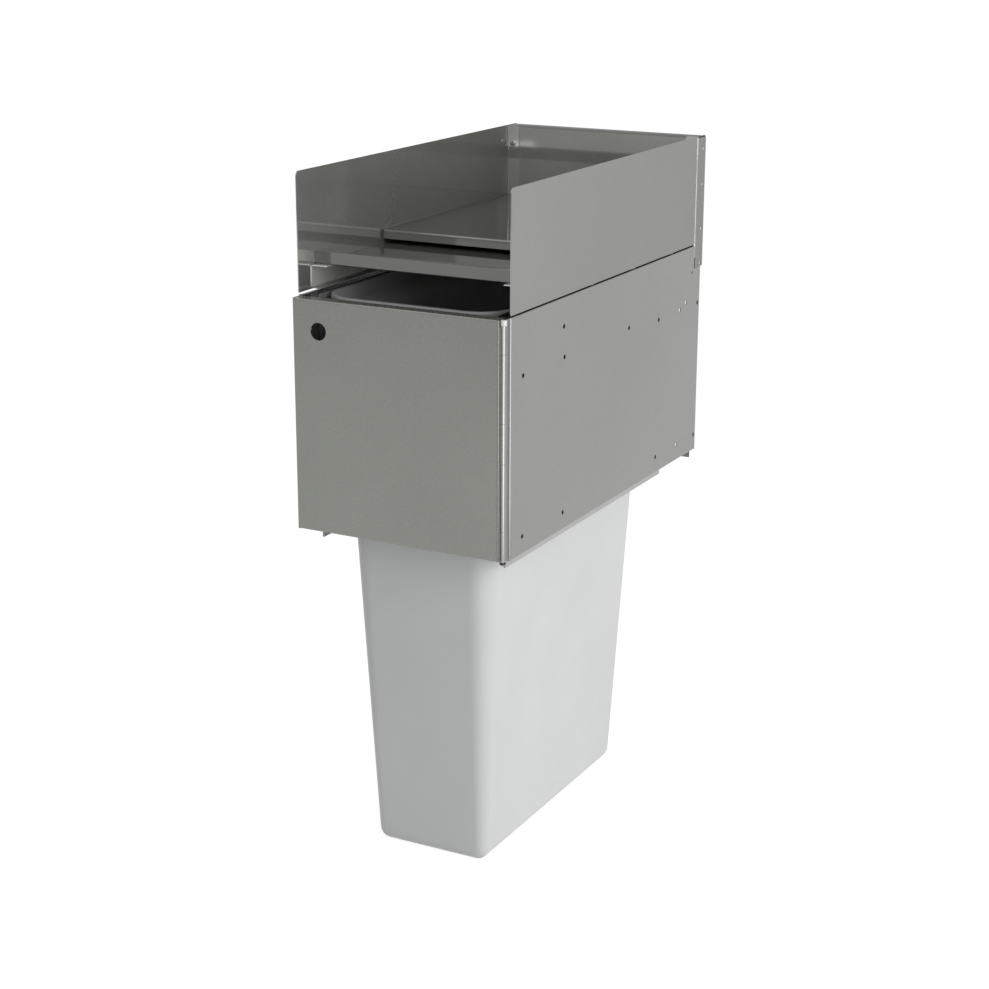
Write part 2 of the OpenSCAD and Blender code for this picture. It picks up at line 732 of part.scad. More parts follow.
module hinge_top_cap() {
    color([0.95, 0.95, 0.94]) difference() {
        standing(knuckle_top + knuckle_gap / 2, door_z1) translate(axis_at) circle(d = cap_d);
        standing(knuckle_top, door_z1 - sheet_t) translate(axis_at) circle(d = pin_d);
    }
}
module hinge_bottom_washer() {
    color([0.08, 0.08, 0.08]) standing(knuckle_bottom - washer_h, knuckle_bottom - knuckle_gap / 2)
        translate(axis_at) difference() {
            circle(d = cap_d);
            circle(d = pin_d);
        }
}

// Catch and bumpers on the left front flange

strike_x = -half_w + front_flange_w / 2;
strike_z = (door_z0 + door_z1) / 2;
strike_w = magnet_w + 2 * case_t;
strike_h = magnet_h + 2 * case_t;
strike_rivets_z = [strike_z - magnet_h / 4, strike_z + magnet_h / 4];
catch_y = front + sheet_t;

module catch_magnet() {
    color([0.15, 0.15, 0.16]) box([strike_x - magnet_w / 2, catch_y, strike_z - magnet_h / 2],
        [strike_x + magnet_w / 2, catch_y + magnet_d, strike_z + magnet_h / 2]);
}
module catch_case() {
    color([0.25, 0.25, 0.25]) difference() {
        box([strike_x - strike_w / 2, catch_y, strike_z - strike_h / 2],
            [strike_x + strike_w / 2, catch_y + magnet_d + case_t, strike_z + strike_h / 2]);
        box([strike_x - magnet_w / 2, catch_y - cut, strike_z - magnet_h / 2],
            [strike_x + magnet_w / 2, catch_y + magnet_d, strike_z + magnet_h / 2]);
    }
}
module strike_plate() {
    color([0.6, 0.6, 0.6]) difference() {
        box([strike_x - strike_w / 2, door_back, strike_z - strike_h / 2],
            [strike_x + strike_w / 2, door_back + strike_t, strike_z + strike_h / 2]);
        for (z = strike_rivets_z)
            hole_along_y(rivet_d, strike_x, z, door_back - cut, door_back + strike_t + cut);
    }
}
// Flush rivets: a shank level with the strike, and a head inside the door
module strike_rivets() {
    color([0.62, 0.62, 0.61]) for (z = strike_rivets_z) {
        hole_along_y(rivet_d, strike_x, z, door_back - sheet_t, door_back + strike_t);
        hole_along_y(rivet_head_d, strike_x, z, door_back - sheet_t - rivet_head_h, door_back - sheet_t);
    }
}
module door_bumpers() {
    color([0.12, 0.12, 0.12]) for (z = [door_z0 + bumper_inset, door_z1 - bumper_inset])
        hole_along_y(bumper_d, strike_x, z, front - door_gap + knuckle_play, front);
}

// Bin

bin_rim_w = 2 * (flange_in - bin_side_gap);
bin_top = split_z - bin_top_drop;
bin_base = bin_top - bin_h;
bin_y0 = front + bin_rim_front + bin_rim_end;
bin_y1 = front + bin_rim_front + bin_rim_l - bin_rim_end;
bin_w0 = bin_rim_w / 2 - bin_rim_side;
// Half width, front and rear of the wall's outside at a share of the height below the rim
function bin_half(s) = bin_w0 - bin_flare * min(1, s * bin_h / bin_flare_h) - bin_side_draft * s;
function bin_front(s) = bin_y0 + bin_front_draft * s;
function bin_rear(s) = bin_y1 - bin_rear_draft * s;
function bin_corner(s) = bin_corner_top + (bin_corner_base - bin_corner_top) * s;
flare_share = bin_flare_h / bin_h;
foot_steps = 4;

module round_plate(x, y0, y1, r, z, t) {
    translate([0, 0, z]) linear_extrude(t) hull()
        for (sx = [-1, 1], y = [y0 + r, y1 - r]) translate([sx * (x - r), y]) circle(r, $fn = 40);
}
// A slice of the wall's outside, drawn in by an inset
module bin_slice(s, inset, t) {
    round_plate(bin_half(s) - inset, bin_front(s) + inset, bin_rear(s) - inset,
        max(bin_corner(s) - inset, sheet_t), bin_top - s * bin_h, t);
}
slice_t = sheet_t / 8;
module bin_outside() {
    hull() {
        bin_slice(0, 0, slice_t);
        bin_slice(flare_share, 0, slice_t);
    }
    hull() {
        bin_slice(flare_share, 0, slice_t);
        bin_slice(1 - bin_foot_r / bin_h, 0, slice_t);
        for (k = [1:foot_steps]) let (a = 90 * k / foot_steps)
            bin_slice(1 - bin_foot_r * (1 - sin(a)) / bin_h, bin_foot_r * (1 - cos(a)), slice_t);
    }
}
module bin_inside() {
    hull() {
        bin_slice(-cut / bin_h, bin_wall_t, slice_t);
        bin_slice(flare_share, bin_wall_t, slice_t);
    }
    hull() {
        bin_slice(flare_share, bin_wall_t, slice_t);
        bin_slice(1 - bin_foot_r / bin_h, bin_wall_t, slice_t);
        for (k = [1:foot_steps]) let (a = 90 * k / foot_steps, r = bin_foot_r - bin_wall_t)
            bin_slice(1 - (bin_foot_r - r * sin(a)) / bin_h, bin_wall_t + r * (1 - cos(a)), slice_t);
    }
}
module rim_plate(inset, z, t) {
    round_plate(bin_rim_w / 2 - inset, front + bin_rim_front + inset,
        front + bin_rim_front + bin_rim_l - inset, bin_rim_r - inset, z, t);
}
module bin() {
    round_t = bin_wall_t;
    color([0.66, 0.67, 0.67]) difference() {
        union() {
            difference() {
                hull() {
                    rim_plate(round_t, bin_top - slice_t, slice_t);
                    rim_plate(round_t * (1 - sin(45)), bin_top - round_t * (1 - sin(45)), slice_t);
                    rim_plate(0, bin_top - bin_skirt_h, bin_skirt_h - round_t);
                }
                rim_plate(bin_wall_t, bin_top - bin_skirt_h - cut, bin_skirt_h + cut - bin_wall_t);
            }
            bin_outside();
        }
        bin_inside();
    }
}

left_splash();
right_splash();
back_splash();
deck_pan();
raised_shelf();
left_deck_bracket();
right_deck_bracket();
splash_screws();
bracket_screws();
bracket_spacers();
left_side_panel();
right_side_panel();
left_liner();
right_liner();
rear_liner();
liner_rivets();
left_bin_rail();
right_bin_rail();
rear_top_rail();
rear_bottom_angle();
door_skin();
door_back_panel();
door_hinge_leaf();
body_hinge_leaf();
hinge_pin();
hinge_top_cap();
hinge_bottom_washer();
catch_magnet();
catch_case();
strike_plate();
strike_rivets();
door_bumpers();
bin();
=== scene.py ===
"""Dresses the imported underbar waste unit: its stainless finishes, bin, screws, rivets and hinge cap."""

import math

import bmesh
import bpy
from bpy.props import FloatProperty, FloatVectorProperty, IntProperty, PointerProperty
from bpy.types import Operator, Panel, PropertyGroup
from mathutils import Matrix, Vector


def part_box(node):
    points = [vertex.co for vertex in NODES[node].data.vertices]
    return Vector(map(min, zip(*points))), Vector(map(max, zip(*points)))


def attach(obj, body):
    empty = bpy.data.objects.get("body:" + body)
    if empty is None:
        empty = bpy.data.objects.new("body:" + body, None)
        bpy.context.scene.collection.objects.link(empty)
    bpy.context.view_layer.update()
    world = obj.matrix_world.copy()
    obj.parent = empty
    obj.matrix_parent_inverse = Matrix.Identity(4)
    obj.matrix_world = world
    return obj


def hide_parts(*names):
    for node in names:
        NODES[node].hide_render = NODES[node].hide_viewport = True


bl_info = {
    "name": "Underbar waste unit",
    "version": (1, 0, 0),
    "blender": (4, 5, 0),
    "location": "3D View > Sidebar > Underbar",
    "description": "Dresses a stainless underbar waste unit with a hinged door and a tall bin",
    "category": "Object",
}

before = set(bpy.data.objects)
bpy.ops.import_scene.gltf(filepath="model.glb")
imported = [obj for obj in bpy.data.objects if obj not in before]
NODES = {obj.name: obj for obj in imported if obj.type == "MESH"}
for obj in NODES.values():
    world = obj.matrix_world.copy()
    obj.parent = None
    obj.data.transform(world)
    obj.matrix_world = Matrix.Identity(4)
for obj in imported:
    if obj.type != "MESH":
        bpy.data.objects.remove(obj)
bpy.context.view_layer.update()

MM = 0.001
FLOOR_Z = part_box("bin")[0][2]
OUTER_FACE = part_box("right_side_panel")[1][0]

# The picture's camera, fitted to the unit's edges, in the part's frame
CAMERA_AT = Vector((1.2646, -2.7445, 0.5359))
CAMERA_AZIMUTH = math.radians(27.868)
CAMERA_ELEVATION = math.radians(16.820)
CAMERA_ROLL = math.radians(0.151)
CAMERA_LENS = 74.28
SENSOR_WIDTH = 36.0
CAMERA_REACH = 100.0

# Nodes that share a finish, with the direction of the steel's grain
PANELS = {"left_side_panel": "Y", "right_side_panel": "Y", "rear_top_rail": "X", "rear_bottom_angle": "X"}
DOOR_SHEETS = {"door_skin": "X", "door_back_panel": "X"}
DECK_BRACKETS = {"left_deck_bracket": "Y", "right_deck_bracket": "Y"}
INNER_SHEETS = {
    "left_liner": "Y", "right_liner": "Y", "rear_liner": "X", "bracket_spacers": "Z",
    "left_bin_rail": "Y", "right_bin_rail": "Y",
}
HINGE_STEEL = {"door_hinge_leaf": "Z", "body_hinge_leaf": "Z", "hinge_pin": "Z", "strike_plate": "Z"}


# Settings

def length(name, description, default):
    """A length in metres that the panel shows."""
    return FloatProperty(name=name, description=description, default=default, unit="LENGTH",
                         precision=4, min=0.0)


def share(name, description, default):
    """A plain number from nothing to one."""
    return FloatProperty(name=name, description=description, default=default, min=0.0, max=1.0,
                         subtype="FACTOR")


def factor(name, description, default):
    """A plain number from nothing upwards."""
    return FloatProperty(name=name, description=description, default=default, min=0.0)


def colour(name, description, default):
    """A linear colour."""
    return FloatVectorProperty(name=name, description=description, default=default, subtype="COLOR",
                               size=3, min=0.0, max=1.0)


class UnderbarFinish(PropertyGroup):
    """Colours and gloss of the unit's materials, and the light and shade painted on them."""

    steel: colour("Steel", "Colour of the satin stainless sheet", (0.290, 0.292, 0.279))
    splash: colour("Splash steel", "Colour of the splashes' satin outer faces", (0.332, 0.334, 0.320))
    door: colour("Door steel", "Colour of the door's stainless sheet", (0.290, 0.296, 0.270))
    deck: colour("Deck steel", "Colour of the deck's and shelf's stainless sheet", (0.300, 0.302, 0.289))
    inner: colour("Inner steel", "Colour of the liners and brackets", (0.450, 0.450, 0.440))
    hinge: colour("Hinge steel", "Colour of the hinge's bright steel", (0.320, 0.320, 0.315))
    plastic: colour("Bin plastic", "Colour of the bin's moulded plastic", (0.720, 0.730, 0.730))
    satin: share("Satin roughness", "Roughness of the splashes and panels", 0.12)
    polish: share("Polish roughness", "Roughness of the splashes' inner faces", 0.04)
    polish_metal: share("Polish metal", "How metallic the splashes' inner faces are", 0.72)
    # Painted light: lightens the splashes' inner faces, where light falls inside the unit
    inner_painted_light: factor("Polish tone", "Tone of the splashes' inner faces", 1.42)
    edge_tint: share("Edge tint", "How bright the splashes are at a grazing angle", 0.35)
    # Painted light and shade: the left splash lighter at its front and darker towards its rear, as light
    # falls in from the front
    left_front_painted_light: factor("Left front tone", "Tone of the left splash at its front", 1.15)
    left_rear_painted_shade: factor("Left rear tone", "Tone of the left splash at its rear", 0.80)
    # Painted light on the side splashes' rear flanges
    flange_painted_light: factor("Flange tone", "Tone of the side splashes' rear flanges", 1.7)
    # Painted shade on the left splash's top edge, dimming its grazing reflection
    top_edge_painted_shade: share("Top edge tone", "Tone of the left splash's cut top edge", 0.3)
    back_tone: factor("Back tone", "Tone of the back splash beside the side splashes", 1.2)
    # Painted light on the back splash's inner face, as a share of that on the splashes
    back_painted_light_share: share("Back polish", "Polish tone of the back splash beside the side splashes", 0.9)
    back_metal: share("Back metal", "How metallic the back splash is", 0.6)
    back_gloss: share("Back gloss", "How much the back splash shines at a grazing angle", 0.05)
    # Painted shade on the back splash's top return, dimming its grazing reflection
    return_painted_shade: share("Return tone", "Tone of the back splash's top return", 0.4)
    gap_shade: share("Gap shade", "Tone of the panels' top edges, in the gap under the splashes", 0.15)
    door_satin: share("Door roughness", "Roughness of the door", 0.26)
    # Painted shade at the door's hinge edge, on its bend and its side face, dimming the strip lamp's
    # highlight there
    door_bend_painted_shade: share("Door bend tone", "Tone of the bend at the door's hinge edge", 0.6)
    door_edge_painted_shade: share("Door edge tone", "Tone of the face at the door's hinge edge", 0.2)
    deck_satin: share("Deck roughness", "Roughness of the deck and shelf", 0.07)
    # Painted shade: the deck's front lip darker than its top
    lip_painted_shade: share("Deck lip tone", "Tone of the deck's front lip beside the deck", 0.60)
    shelf_tone: share("Shelf tone", "Tone of the raised shelf beside the deck", 0.75)
    # Painted light: the shelf's front lip lighter than its top
    shelf_lip_painted_light: factor("Shelf lip tone", "Tone of the shelf's front lip beside the shelf", 1.4)
    shelf_tint: share("Shelf edge tint", "How bright the shelf is at a grazing angle", 0.55)
    mill: share("Mill roughness", "Roughness of the liners and brackets", 0.45)
    mill_metal: share("Mill metal", "How metallic the liners and brackets are", 0.45)
    bracket_tone: factor("Bracket tone", "Tone of the deck brackets beside the liners", 1.9)
    # Painted shade on the deck brackets' lower flanges, in the gap under the deck
    bracket_foot_painted_shade: share("Bracket foot tone", "Tone of the brackets' lower flanges", 0.4)
    leaf_shade: share("Leaf shade", "Tone of the hinge's leaf at the side panel", 0.38)
    hinge_rough: share("Hinge roughness", "Roughness of the hinge", 0.15)
    hinge_metal: share("Hinge metal", "How metallic the hinge is", 0.8)
    plastic_matt: share("Plastic roughness", "Roughness of the bin's plastic", 0.42)
    # Painted shade: the bin's rim and skirt darker, fading out down the wall below them, under the deck
    rim_painted_shade: share("Rim tone", "Tone of the bin's rim beside its walls", 0.52)


class UnderbarBin(PropertyGroup):
    """Sizes of the moulded bin."""

    wall: length("Wall", "Thickness of the wall", 2.5 * MM)
    rim_side: length("Side rim", "Width of the rim beyond the side walls", 8 * MM)
    rim_end: length("End rim", "Width of the rim beyond the front and rear walls", 6.5 * MM)
    rim_radius: length("Rim corner radius", "Corner radius of the rim", 56 * MM)
    skirt: length("Skirt", "Depth of the rim's skirt", 17 * MM)
    flare: length("Flare", "How far the side walls flare below the rim", 3.6 * MM)
    flare_height: length("Flare height", "Height of the flare", 60 * MM)
    side_draft: length("Side draft", "Draft of each side wall", 38.4 * MM)
    front_draft: length("Front draft", "Draft of the front wall", 46.4 * MM)
    rear_draft: length("Rear draft", "Draft of the rear wall", 57.5 * MM)
    corner_top: length("Upper corner radius", "Corner radius of the wall at the rim", 44 * MM)
    corner_base: length("Lower corner radius", "Corner radius of the wall at the base", 14 * MM)
    foot: length("Foot radius", "Radius of the bottom edge", 17 * MM)
    base_rise: length("Base rise", "How far the underside rises inside the foot ring", 3 * MM)
    foot_ring: length("Foot ring", "Width of the ring that the bin stands on", 14 * MM)


class UnderbarFasteners(PropertyGroup):
    """Sizes of the screws and rivets."""

    screw_head: length("Screw head", "Diameter of a screw's head", 10 * MM)
    screw_height: length("Screw height", "Height of a screw's head", 2.2 * MM)
    screw_shank: length("Screw shank", "Diameter of a screw's shank", 4 * MM)
    screw_length: length("Screw length", "Length of a screw's shank", 8 * MM)
    recess: length("Recess", "Length of the cross recess", 5 * MM)
    recess_width: length("Recess width", "Width of the cross recess", 0.9 * MM)
    rivet_head: length("Rivet head", "Diameter of a rivet's head", 6 * MM)
    rivet_height: length("Rivet height", "Height of a rivet's head", 0.9 * MM)
    rivet_shank: length("Rivet shank", "Diameter of a rivet's shank", 3.2 * MM)
    liner_grip: length("Liner grip", "Thickness that the liner rivets hold", 2.4 * MM)
    strike_grip: length("Strike grip", "Thickness that the strike rivets hold", 2.2 * MM)
    segments: IntProperty(name="Segments", description="Segments round a head", default=32, min=12)


class UnderbarStage(PropertyGroup):
    """Light and floor of the studio."""

    fill: factor("Fill", "Strength of the world's even light", 0.40)
    key: factor("Key", "Power of the lamp at the unit's right", 34.0)
    corner: factor("Corner", "Power of the lamp off the front right corner", 58.0)
    strip: factor("Strip", "Power of the low lamp that the steel's bends show", 8.0)
    card: share("Card", "Brightness of the far card that the polished steel shows", 0.40)
    floor_glow: share("Floor glow", "How much of the floor's white is its own", 0.88)
    floor_shade: share("Floor shade", "How much of the floor's white takes shadow", 0.32)
    floor_bounce: share("Floor bounce", "How much light the floor gives back to the unit", 0.75)


def settings(name):
    """One of the scene's property groups."""
    return getattr(bpy.context.scene, name)


# Shader trees

def new_material(name):
    """An empty material with its output and principled shader."""
    material = bpy.data.materials.new(name)
    material.use_nodes = True
    tree = material.node_tree
    tree.nodes.clear()
    output = tree.nodes.new("ShaderNodeOutputMaterial")
    shader = tree.nodes.new("ShaderNodeBsdfPrincipled")
    tree.links.new(shader.outputs["BSDF"], output.inputs["Surface"])
    return material, tree, shader


def object_noise(tree, scale, detail, roughness, stretch=(1.0, 1.0, 1.0)):
    """Noise on the piece's own coordinates, in metres."""
    place = tree.nodes.new("ShaderNodeTexCoord")
    mapping = tree.nodes.new("ShaderNodeMapping")
    mapping.inputs["Scale"].default_value = stretch
    noise = tree.nodes.new("ShaderNodeTexNoise")
    noise.inputs["Scale"].default_value = scale
    noise.inputs["Detail"].default_value = detail
    noise.inputs["Roughness"].default_value = roughness
    tree.links.new(place.outputs["Object"], mapping.inputs["Vector"])
    tree.links.new(mapping.outputs["Vector"], noise.inputs["Vector"])
    return noise.outputs["Fac"]


# The range that noise mostly keeps to
NOISE_LOW, NOISE_HIGH = 0.3, 0.7


def spread(tree, value, low, high, from_low=NOISE_LOW, from_high=NOISE_HIGH):
    """A value spread between two numbers."""
    node = tree.nodes.new("ShaderNodeMapRange")
    node.inputs["From Min"].default_value = from_low
    node.inputs["From Max"].default_value = from_high
    node.inputs["To Min"].default_value = low
    node.inputs["To Max"].default_value = high
    tree.links.new(value, node.inputs["Value"])
    return node.outputs["Result"]


def around(tree, value, middle, part):
    """A value spread by a part to either side of a middle."""
    return spread(tree, value, middle * (1.0 - part), middle * (1.0 + part))


def tinted(tree, base, tone):
    """A colour made lighter and darker by a tone."""
    node = tree.nodes.new("ShaderNodeMix")
    node.data_type = "RGBA"
    node.blend_type = "MULTIPLY"
    node.inputs["Factor"].default_value = 1.0
    node.inputs["A"].default_value = (*base, 1.0)
    grey = tree.nodes.new("ShaderNodeCombineColor")
    for channel in ("Red", "Green", "Blue"):
        tree.links.new(tone, grey.inputs[channel])
    tree.links.new(grey.outputs["Color"], node.inputs["B"])
    return node.outputs["Result"]


def own_coordinate(tree, axis):
    """The piece's own coordinate along an axis, in metres."""
    place = tree.nodes.new("ShaderNodeTexCoord")
    parts = tree.nodes.new("ShaderNodeSeparateXYZ")
    tree.links.new(place.outputs["Object"], parts.inputs[0])
    return parts.outputs[axis]


def times(tree, first, second):
    """The product of two values."""
    node = tree.nodes.new("ShaderNodeMath")
    node.operation = "MULTIPLY"
    tree.links.new(first, node.inputs[0])
    tree.links.new(second, node.inputs[1])
    return node.outputs["Value"]


def zoned(tree, tone, zones):
    """A tone changed along the piece by each zone.

    A zone is the axis, where the change starts and ends, and the tones before and after it.
    """
    for axis, start, end, before, after in zones:
        tone = times(tree, tone, spread(tree, own_coordinate(tree, axis), before, after, start, end))
    return tone


def to_high_edge(axis, edge, band, tone):
    """A zone up to a high edge. The band is the depth at which its change starts, and its length."""
    depth, fade = band
    return axis, edge - depth, edge - depth + fade, 1.0, tone


def to_low_edge(axis, edge, band, tone):
    """The same down to a low edge, where the band's depth is that at which the change ends."""
    depth, fade = band
    return axis, edge + depth - fade, edge + depth, tone, 1.0


def bumped(tree, shader, height, distance):
    """Gives the shader a bump from a height."""
    bump = tree.nodes.new("ShaderNodeBump")
    bump.inputs["Strength"].default_value = 1.0
    bump.inputs["Distance"].default_value = distance
    tree.links.new(height, bump.inputs["Height"])
    tree.links.new(bump.outputs["Normal"], shader.inputs["Normal"])


# Each noise's scale, detail and roughness
GRAIN_NOISE = (1100.0, 2.0, 0.6)
MOTTLE_NOISE = (260.0, 3.0, 0.6)
CLOUD_NOISE = (5.0, 2.0, 0.5)
PLASTIC_NOISE = (900.0, 3.0, 0.6)
PLASTIC_CLOUD_NOISE = (9.0, 3.0, 0.5)

GRAIN_STRETCH = {"X": (0.04, 1.0, 1.0), "Y": (1.0, 0.04, 1.0), "Z": (1.0, 1.0, 0.04)}
SHEET_CONTRAST, DOOR_CONTRAST, DECK_CONTRAST = 0.03, 0.04, 0.02
CLOUD_CONTRAST = 0.03
ROUGH_SPREAD = 0.1
GRAIN_BUMP = 0.004 * MM
POLISHED_BUMP = 0.0003 * MM
PLASTIC_BUMP = 0.015 * MM
# How far below the outermost side faces the inside's finish and painted light end, and theirs starts
OUTER_BAND = (0.7 * MM, 0.5 * MM)


def outward(tree, inside, outside):
    """A value inside the unit and another on its outermost side faces."""
    node = tree.nodes.new("ShaderNodeMath")
    node.operation = "ABSOLUTE"
    tree.links.new(own_coordinate(tree, "X"), node.inputs[0])
    deep, near = OUTER_BAND
    return spread(tree, node.outputs["Value"], inside, outside, OUTER_FACE - deep, OUTER_FACE - near)


def brushed_steel(name, base, rough, grain, metal=0.6, contrast=SHEET_CONTRAST, bump=GRAIN_BUMP,
                  edge_tint=0.8, gloss=0.5, polish=None, zones=()):
    """Stainless sheet: a faint grain, a mottle and slow clouds.

    gloss is the level of its clear shine, and polish the painted-light tone, roughness and metal of the
    faces inside the unit.
    """
    material, tree, shader = new_material(name)
    shader.inputs["Metallic"].default_value = metal
    shader.inputs["Specular Tint"].default_value = (*[edge_tint] * 3, 1.0)
    shader.inputs["Specular IOR Level"].default_value = gloss
    lines = object_noise(tree, *GRAIN_NOISE, GRAIN_STRETCH[grain])
    mottle = object_noise(tree, *MOTTLE_NOISE)
    cloud = object_noise(tree, *CLOUD_NOISE)
    tone = times(tree, around(tree, lines, 1.0, contrast / 2), around(tree, mottle, 1.0, contrast))
    tone = times(tree, tone, around(tree, cloud, 1.0, CLOUD_CONTRAST))
    roughness = around(tree, mottle, rough, ROUGH_SPREAD)
    if polish:
        # The inside tone is painted light; the inside roughness and metal are the real polish
        inside_painted_light, inside_rough, inside_metal = polish
        tone = times(tree, tone, outward(tree, inside_painted_light, 1.0))
        roughness = times(tree, roughness, outward(tree, inside_rough / rough, 1.0))
        tree.links.new(outward(tree, inside_metal, metal), shader.inputs["Metallic"])
    tree.links.new(tinted(tree, base, zoned(tree, tone, zones)), shader.inputs["Base Color"])
    tree.links.new(roughness, shader.inputs["Roughness"])
    bumped(tree, shader, lines, bump)
    return material


def moulded_plastic(name, base, rough, contrast=0.02, zones=()):
    """Moulded plastic or rubber: a fine texture and a faint unevenness of colour."""
    material, tree, shader = new_material(name)
    grain = object_noise(tree, *PLASTIC_NOISE)
    cloud = object_noise(tree, *PLASTIC_CLOUD_NOISE)
    tone = zoned(tree, around(tree, cloud, 1.0, contrast), zones)
    tree.links.new(tinted(tree, base, tone), shader.inputs["Base Color"])
    tree.links.new(around(tree, grain, rough, ROUGH_SPREAD), shader.inputs["Roughness"])
    bumped(tree, shader, grain, PLASTIC_BUMP)
    return material


# Meshes

def new_piece(name, mesh, material, body, slot, *replaced):
    """A finished piece at the origin that rides on a body and stands for CAD nodes."""
    piece = bpy.data.objects.new(name, mesh)
    bpy.context.collection.objects.link(piece)
    if material:
        mesh.materials.clear()
        mesh.materials.append(material)
    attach(piece, body)
    if replaced:
        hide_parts(*replaced)
    return piece


def finish_nodes(names, make):
    """Gives each named CAD node a material of its own, made from the name and what stands with it."""
    for name, look in names.items():
        node = NODES[name]
        node.data.materials.clear()
        node.data.materials.append(make(name, look))


CORNER_STEPS = 14
TURN_STEPS = 48
MERGE_DISTANCE = 0.001 * MM


def quarter(steps):
    """Angles from nothing to a right angle."""
    return [math.radians(90 * step / steps) for step in range(steps + 1)]


def rounded_ring(half, front, rear, radius, z):
    """A rounded rectangle as points, anticlockwise seen from above."""
    ring = []
    corners = ((1, front, 1, -90), (1, rear, -1, 0), (-1, rear, -1, 90), (-1, front, 1, 180))
    for side, y, inward, start in corners:
        centre = Vector((side * (half - radius), y + inward * radius, z))
        for step in range(CORNER_STEPS + 1):
            angle = math.radians(start + 90 * step / CORNER_STEPS)
            ring.append(centre + Vector((radius * math.cos(angle), radius * math.sin(angle), 0)))
    return ring


def lofted(name, rings):
    """A closed mesh through rings of equal length, with a face at each end."""
    mesh = bpy.data.meshes.new(name)
    shape = bmesh.new()
    rows = [[shape.verts.new(p) for p in ring] for ring in rings]
    count = len(rings[0])
    for low, high in zip(rows, rows[1:]):
        for i in range(count):
            j = (i + 1) % count
            shape.faces.new((low[i], low[j], high[j], high[i]))
    shape.faces.new(rows[0][::-1])
    shape.faces.new(rows[-1])
    bmesh.ops.recalc_face_normals(shape, faces=shape.faces)
    for face in shape.faces:
        face.smooth = len(face.verts) == 4
    shape.to_mesh(mesh)
    shape.free()
    return mesh


def turned(name, profile, centre):
    """A body of revolution about an upright axis, from (radius, height) pairs that end on the axis."""
    mesh = bpy.data.meshes.new(name)
    shape = bmesh.new()
    points = [shape.verts.new((centre[0] + r, centre[1], z)) for r, z in profile]
    edges = [shape.edges.new(pair) for pair in zip(points, points[1:])]
    bmesh.ops.spin(shape, geom=points + edges, cent=(centre[0], centre[1], 0), axis=(0, 0, 1),
                   angle=math.tau, steps=TURN_STEPS, use_merge=True)
    bmesh.ops.remove_doubles(shape, verts=shape.verts, dist=MERGE_DISTANCE)
    bmesh.ops.recalc_face_normals(shape, faces=shape.faces)
    for face in shape.faces:
        face.smooth = True
    shape.to_mesh(mesh)
    shape.free()
    return mesh


# Bin

FOOT_STEPS = 6
RIM_STEPS = 5
WALL_LEVEL_SHARES = (0.16, 0.34, 0.52, 0.70, 0.86)
FLARE_END_SHARES = (0.97, 1.03)
# The lip inside the rim: its angles, and how far it leans over the wall
LIP_ANGLES = (30, 65)
LIP_LEAN = 0.4
# How far the flat floor is drawn in, in foot radii, and how far above the foot the inner wall starts
FLOOR_INSET = 3
INNER_FOOT_ROOM = 1.2
SKIRT_EDGE = 0.25 * MM
LEAST_RADIUS = 2 * MM
BASE_SLOPE = 2 * MM
# How far down the wall the painted shade below the rim fades out
RIM_SHADE_DEPTH = 20 * MM


class BinShape:
    """The bin's wall and rim at any height, from the CAD node's box and the named sizes."""

    def __init__(self, sizes):
        low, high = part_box("bin")
        self.sizes = sizes
        self.top, self.base = high[2], low[2]
        self.height = self.top - self.base
        self.rim_half = high[0]
        self.rim_front, self.rim_rear = low[1], high[1]

    def wall(self, depth, inset=0.0):
        """The wall's outline at a depth below the rim, drawn in by an inset."""
        s = self.sizes
        part = depth / self.height
        flared = min(1.0, depth / s.flare_height)
        half = self.rim_half - s.rim_side - s.flare * flared - s.side_draft * part
        front = self.rim_front + s.rim_end + s.front_draft * part
        rear = self.rim_rear - s.rim_end - s.rear_draft * part
        radius = s.corner_top + (s.corner_base - s.corner_top) * part
        return rounded_ring(half - inset, front + inset, rear - inset,
                            max(radius - inset, LEAST_RADIUS), self.top - depth)

    def rim(self, depth, inset):
        """The rim's outline at a depth below the top, drawn in by an inset."""
        s = self.sizes
        return rounded_ring(self.rim_half - inset, self.rim_front + inset, self.rim_rear - inset,
                            s.rim_radius - inset, self.top - depth)

    def wall_rings(self, inset, start, end):
        """Rings down a wall between two depths, with two where the flare ends."""
        depths = [start] + [self.sizes.flare_height * part for part in FLARE_END_SHARES]
        depths += [share_down * self.height for share_down in WALL_LEVEL_SHARES] + [end]
        return [self.wall(depth, inset) for depth in depths]


